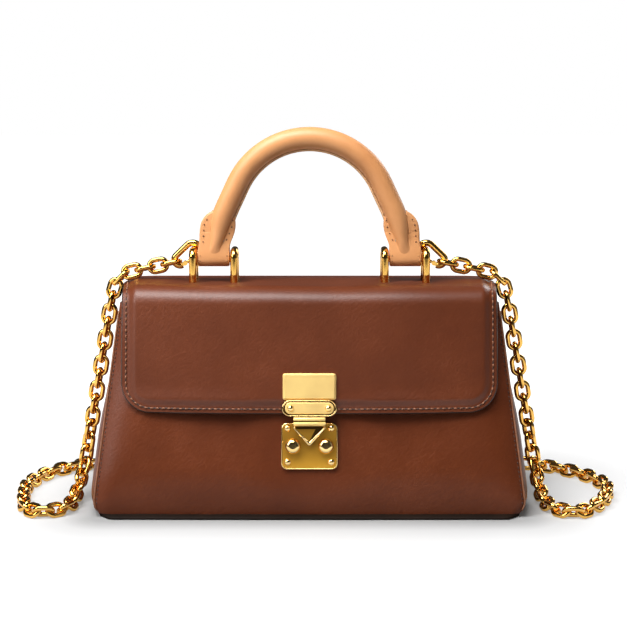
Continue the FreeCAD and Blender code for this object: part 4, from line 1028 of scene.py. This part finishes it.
LINK_WIDE, LINK_BEND, LINK_RUN, WIRE = 9.6, 3.50, 1.80, 1.43
LINK_SIDES, TWIST, FLOOR_LINE = 12, 9.0, 3.781

curve = bpy.data.curves.new("chain_route", "CURVE")
curve.dimensions = "3D"
spline = curve.splines.new("NURBS")
spline.points.add(len(ROUTE) - 1)
for point, place in zip(spline.points, ROUTE):
    point.co = (*place, 1.0)
spline.order_u = 3
spline.use_endpoint_u = True
spline.resolution_u = 24
route = new_object("chain_route", curve)
traced = bpy.data.meshes.new_from_object(route)
CHAIN_LINE = [v.co.copy() for v in traced.vertices]
bpy.data.objects.remove(route)
bpy.data.meshes.remove(traced)
bpy.data.curves.remove(curve)

joints = divided([p / MM for p in CHAIN_LINE], LINKS)
link = list(zip(stadium_line(LINK_RUN, LINK_BEND), stadium_line(0.0, 1.0)))
verts, faces = [], []
across = Vector((0.0, 1.0, 0.0))
up = Vector((0.0, 0.0, 1.0))
for i in range(LINKS):
    along = (joints[i + 1] - joints[i]).normalized()
    across = (across - along * across.dot(along)).normalized()
    middle = (joints[i] + joints[i + 1]) / 2
    lying = smooth(1.0 - (middle.z - FLOOR_LINE - LINK_WIDE * 2) / (LINK_WIDE * 4))
    level = up.cross(along)
    upright = along.cross(level)
    level = max((level, -level, upright, -upright), key=across.dot).normalized()
    landed = clamp(1.0 - (middle.z - FLOOR_LINE) / LINK_WIDE)
    across = across * (1.0 - landed) + level * landed
    across = (across - along * across.dot(along)).normalized()
    twist = TWIST * (1.0 - lying) * (1.0 if middle.x < 0 else -1.0)
    roll = radians(45.0 * lying + twist + (90.0 if i % 2 else 0.0))
    wide = across * cos(roll) + along.cross(across) * sin(roll)
    thick = along.cross(wide)
    faces += [(a, d, c, b) for a, b, c, d in bands(len(link), LINK_SIDES, len(verts), True)]
    for (x, y), (nx, ny) in link:
        for c, s in circle(LINK_SIDES):
            a, b = WIRE * c, WIRE * s
            verts.append(middle + along * (x + nx * a) + wide * (y + ny * a) + thick * b)
chain = piece("chain_strap", verts, faces, None, [GOLD],
              ["chain_run_left", "chain_loop_left", "chain_back", "chain_loop_right", "chain_run_right"])
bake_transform(chain)
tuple(ROUTE[0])
[tuple(p) for p in CHAIN_LINE]


# Wire parts: clips, staples, handle pins and button springs
SLOPE = radians(35.0)
CROWN, CLIP_BACK = 146.2, 3.3
CLIP_NEAR, CLIP_FAR, CLIP_BEND, CLIP_TAIL = 0.75, 9.95, 4.75, 3.35
STAPLE, CROWN_BEND, TENON, TENON_LOW = 2.3, 3.5, 1.6, 122.5
STAPLE_HEIGHTS = (TENON_LOW, TOP - 2.6, TOP - 2.5, TOP + 4.0)
BAR_PLACES = (41.2, 41.4, 41.9, 55.6, 69.4, 69.9, 70.1)
BAR_RADII = (1.2, 1.7, 2.0, 2.0, 2.0, 1.7, 1.2)
SPRING_FRONT, SPRING_BACK = -3.48, -7.9
SPRING_RADIUS, SPRING_WIRE, SPRING_TURNS = 3.5, 0.35, 3
BUTTON_X, BUTTON_TRAVEL = 9.3, 1.6


# A snap clip's line goes round the staple, then round the chain's first link
turn = pi / 2 - asin((CLIP_BEND - CLIP_TAIL) / (CLIP_FAR - CLIP_NEAR))
flat = arc(CLIP_NEAR, 0.0, CLIP_BEND, -turn, turn - 2 * pi, 22)
flat += arc(CLIP_FAR, 0.0, CLIP_TAIL, turn, -turn, 20)
for side, label in SIDES:
    line = []
    for along, over in flat:
        x = along * cos(SLOPE) + over * sin(SLOPE)
        z = over * cos(SLOPE) - along * sin(SLOPE)
        line.append((side * (STAPLE_OUT + x), CLIP_BACK, CROWN + z))
    tube("clip_wire_" + label, line, (1.95, 1.8), "clip_" + label, [GOLD])

crown = arc(CROWN_BEND - LEG, CROWN - CROWN_BEND, CROWN_BEND, pi, pi / 2, 8)
half_staple = [(-LEG, z) for z in STAPLE_HEIGHTS] + crown
half_radii = [(TENON, TENON)] * 2 + [(STAPLE, STAPLE)] * (len(half_staple) - 2)
for side, label in SIDES:
    for name, x in (("outer", STAPLE_OUT), ("inner", STAPLE_IN)):
        line = [(side * x, y, z) for y, z in half_staple] + [(side * x, -y, z) for y, z in half_staple[::-1]]
        where = "_%s_%s" % (label, name)
        tube("staple_wire" + where, line, half_radii + half_radii[::-1], "flap", [GOLD],
             ["staple" + where], side=(1, 0, 0), around=24)
    line = [(side * x, PIN_Y, PIN_Z) for x in BAR_PLACES]
    tube("handle_bar_" + label, line, [(r, r) for r in BAR_RADII], "flap", [GOLD],
         ["handle_pin_" + label], around=24)


def on_lock(x, up, out):
    """A place on the lock: across, up the leaning face, out from it."""
    return tuple(LOCK + Vector((x, 0.0, 0.0)) + UPWARD * up + OUT * out)


# The coiled spring behind each button
steps = SPRING_TURNS * 24
front, back = SPRING_FRONT - SPRING_WIRE - GLUE, SPRING_BACK + SPRING_WIRE + GLUE
for side, label in SIDES:
    x = side * BUTTON_X
    turns = arc(x, 0.0, SPRING_RADIUS, 0.0, 2 * pi * SPRING_TURNS, steps)
    points = [on_lock(*place, between(front, back, i / steps)) for i, place in enumerate(turns)]
    coil = tube("button_coil_" + label, points, (SPRING_WIRE, SPRING_WIRE), "bag", [STEEL],
                ["button_spring_" + label], side=tuple(OUT), around=8)
    anchor = tuple(c * MM for c in on_lock(x, 0.0, SPRING_BACK))
    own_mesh(coil)


# Trim on the lock: places are (x, up, out) on its leaning face
PLATE_THICK, HASP_THICK, HASP_UP = 1.0, 0.8, 21.4
TRAY = FLAP_OUT + GLUE + PLATE_THICK
HASP_OUT = TRAY + HASP_THICK
TONGUE_OUT = 4.07
HOLLOW = TONGUE_OUT + 0.03
GROOVE_LOOPS = ((27.3, 6.5, 0.06), (28.9, 8.1, 0.06), (28.9, 8.1, -0.1), (27.3, 6.5, -0.1))
HASP_LOOPS = ((31.06, 9.06, -0.3), (30.7, 8.7, 0.08), (29.3, 8.2, 0.08), (28.9, 8.0, -0.3))
LOCK_X, LOCK_UP, LOCK_CORNER = 12.5, 9.75, 3.5
LOCK_LOOPS = ((0.03, 1.10), (-0.05, 1.34), (-0.57, 1.82), (-0.75, 1.80), (-0.70, 1.60), (-0.20, 1.0))
OUTER_RIM, INNER_RIM = ([(-x, up) for x, up in half] + half[::-1] for half in (
    [(8.95, 11.9), (8.95, 10.1), (0.68, 0.55)], [(7.9, 11.9), (7.75, 9.85), (0.15, 2.3)]))
TONGUE_LOOPS = ((OUTER_RIM, 0.0), (INNER_RIM, 0.12), (INNER_RIM, -0.3), (OUTER_RIM, -0.3))
HOLLOW_POINTS = ((-7.8, 11.9), (7.8, 11.9), (7.7, 9.8), (0.0, 2.3), (-7.7, 9.8), (-5.6, 9.6), (3.4, 9.6),
                 (0.0, 2.9))
HOLLOW_FACES = ((0, 5, 6, 1), (1, 6, 2), (2, 6, 7, 3), (3, 7, 5, 4), (4, 5, 0), (5, 7, 6))
ROLL_ENDS = ((-9.0, 0.7), (-8.9, 0.9), (-8.6, 1.0), (0.0, 1.0), (8.6, 1.0), (8.9, 0.9), (9.0, 0.7))


def loops_piece(name, loops, body, mat):
    """Bands between loops of points on the lock; the last joins the first."""
    verts = [on_lock(*p) for loop in loops for p in loop]
    piece(name, verts, bands(len(loops), len(loops[0]), closed=True), body, [mat])


def stadiums(sizes, out):
    """Loops of (width, height, out) round the hasp, from a place out."""
    loops = []
    for wide, tall, more in sizes:
        line = stadium_line((wide - tall) / 2, tall / 2)
        loops.append([(x, HASP_UP + y, out + more) for x, y in line])
    return loops


def plate_loop(grow, out):
    """The lock plate's rounded outline, made larger or smaller."""
    points = []
    for quarter, (sx, su) in enumerate(((1, -1), (1, 1), (-1, 1), (-1, -1))):
        first = pi / 2 * (quarter - 1)
        points += arc(sx * LOCK_X, su * LOCK_UP, LOCK_CORNER + grow, first, first + pi / 2, 8)
    return [(x, up, out) for x, up in points]


# Painted shade: a near-black ring in the hasp's groove.
loops_piece("hasp_groove", stadiums(GROOVE_LOOPS, TRAY), "flap", SHADE)
# Painted highlights: lighter gold rims round the lock plate, the hasp and the tongue.
loops_piece("lock_rim", [plate_loop(*loop) for loop in LOCK_LOOPS], "bag", GLEAM)
loops_piece("hasp_rim", stadiums(HASP_LOOPS, HASP_OUT), "flap", GLEAM)
rims = [[(x, up, TONGUE_OUT + out) for x, up in loop] for loop, out in TONGUE_LOOPS]
loops_piece("tongue_rim", rims, "tongue", GLEAM)
# Painted shade on the tongue's hollow: its top and right facets near-black, the rest in lock gold.
hollow = [on_lock(x, up, HOLLOW) for x, up in HOLLOW_POINTS]
piece("tongue_hollow", hollow, HOLLOW_FACES, "tongue", [SHADE, PLATE], (), [0, 0, 0, 1, 0, 1])
for name, up, out, radius in (("upper", 15.15, 6.35, 1.2), ("lower", 12.75, 6.15, 1.35)):
    tube("tongue_roll_" + name, [on_lock(x, up, out) for x, _ in ROLL_ENDS],
         [(radius * share, radius * share) for _, share in ROLL_ENDS], "tongue", [SATIN], around=24)


# The other nodes keep their modelled shapes and get their materials here
def dress(mat, *names):
    for name in names:
        for slot in NODES[name].material_slots:
            slot.material = mat


dress(GOLD, "clip_left", "clip_right", "clip_gate_left", "clip_gate_right", "clip_pin_left",
      "clip_pin_right", "hasp_plate", "hasp_tongue", "hasp_hinge_pin")
dress(GLEAM, "lock_button_left", "lock_button_right", "lock_rivets", "hasp_screws")
dress(SATIN, "upper_plate", "hasp_bar")
dress(PLATE, "lock_plate")
dress(INNER, "staple_plate_left", "staple_plate_right", "staple_nuts", "lock_case", "flap_backing_plate")
dress(STEEL, "catch_leaf")
dress(BOARD, "base_board")


# Stage, lights and camera, in metres
FLOOR_CORE = (0.116, 0.050, 0.0)
FLOOR_SPAN = 0.4
# The floor's glow by distance from the bag: little near it, which paints a darker ring of shadow round the
# bag, rising to white further away.
FLOOR_LIFT = ((0.0, 0.0), (0.008, 0.02), (0.016, 0.16), (0.026, 0.36), (0.05, 0.54), (0.10, 0.68),
              (0.16, 0.88), (0.3, 1.0))
WORLD_DIM = 0.05


def stage_plane(name, size, place, turn, mat):
    mesh = bpy.data.meshes.new(name)
    half = size / 2
    corners = [(-half, -half, 0), (half, -half, 0), (half, half, 0), (-half, half, 0)]
    mesh.from_pydata(corners, [], [(0, 1, 2, 3)])
    mesh.materials.append(mat)
    obj = new_object(name, mesh)
    obj.location = place
    obj.rotation_euler = turn


def seen_by(tree, *kinds):
    """One for rays of these kinds, zero for all others."""
    rays = tree.nodes.new("ShaderNodeLightPath").outputs
    seen = rays["Is %s Ray" % kinds[0]]
    for kind in kinds[1:]:
        seen = maths(tree, "MAXIMUM", seen, rays["Is %s Ray" % kind])
    return seen


def floor_material():
    """A floor that is darker near the bag, partly its real shadow and partly painted shadow where it glows
    less, and white further away.
    """
    mat, tree, shader = new_material("floor_white")
    apart = vectors(tree, "ABSOLUTE", object_place(tree))
    beyond = vectors(tree, "MAXIMUM", vectors(tree, "SUBTRACT", apart, FLOOR_CORE), (0.0, 0.0, 0.0))
    reach = grey_ramp(tree, vectors(tree, "LENGTH", beyond, output="Value"), FLOOR_SPAN, FLOOR_LIFT)
    seen = seen_by(tree, "Camera", "Glossy", "Transmission")
    wire(tree, shader, {
        "Base Color": (0.28, 0.28, 0.28, 1.0), "Roughness": 0.85, "Specular IOR Level": 0.2,
        "Emission Color": WHITE, "Emission Strength": maths(tree, "MULTIPLY", seen, reach),
    })
    return mat


def room_material():
    """Dark where the metal mirrors it, white where the camera sees it."""
    mat, tree, shader = new_material("dark_room")
    wire(tree, shader, {
        "Base Color": (0.09, 0.085, 0.08, 1.0), "Roughness": 0.9,
        "Emission Color": WHITE, "Emission Strength": seen_by(tree, "Camera"),
    })
    return mat


stage_plane("room_behind_camera", 3.6, (0.0, -1.9, -0.85), (radians(90.0), 0.0, 0.0), room_material())
stage_plane("floor", 8.0, (0.0, 0.0, 0.0), (0.0, 0.0, 0.0), floor_material())

scene = bpy.context.scene
scene.view_settings.view_transform = "Standard"
world = bpy.data.worlds.new("studio")
world.use_nodes = True
scene.world = world
tree = world.node_tree
strength = ranged(tree, seen_by(tree, "Camera", "Transmission"), WORLD_DIM, 1.0)
wire(tree, tree.nodes["Background"], {"Color": WHITE, "Strength": strength})


def lamp(name, place, aim, size, power):
    data = bpy.data.lights.new(name, "AREA")
    data.shape = "RECTANGLE"
    data.size, data.size_y = size
    data.energy = power
    obj = new_object(name, data)
    obj.location = place
    obj.rotation_euler = (Vector(aim) - Vector(place)).to_track_quat("-Z", "Y").to_euler()


lamp("top_soft", (-0.30, -0.40, 1.12), (0.0, 0.0, 0.10), (1.0, 0.50), 25.0)
lamp("key_soft", (-0.90, -0.60, 0.74), (0.0, 0.0, 0.09), (0.30, 0.7), 8.0)
lamp("back_soft", (0.70, 0.90, 0.60), (0.0, 0.0, 0.08), (0.6, 0.5), 5.0)
lamp("right_soft", (1.25, -0.35, 0.55), (0.0, 0.0, 0.09), (0.4, 0.8), 0.4)

camera = new_object("camera", bpy.data.cameras.new("camera"))
camera.location = (0.0023, -0.98769, 0.26564)
camera.rotation_euler = (radians(81.0), 0.0, 0.0)
camera.data.lens = 97.95
scene.camera = camera
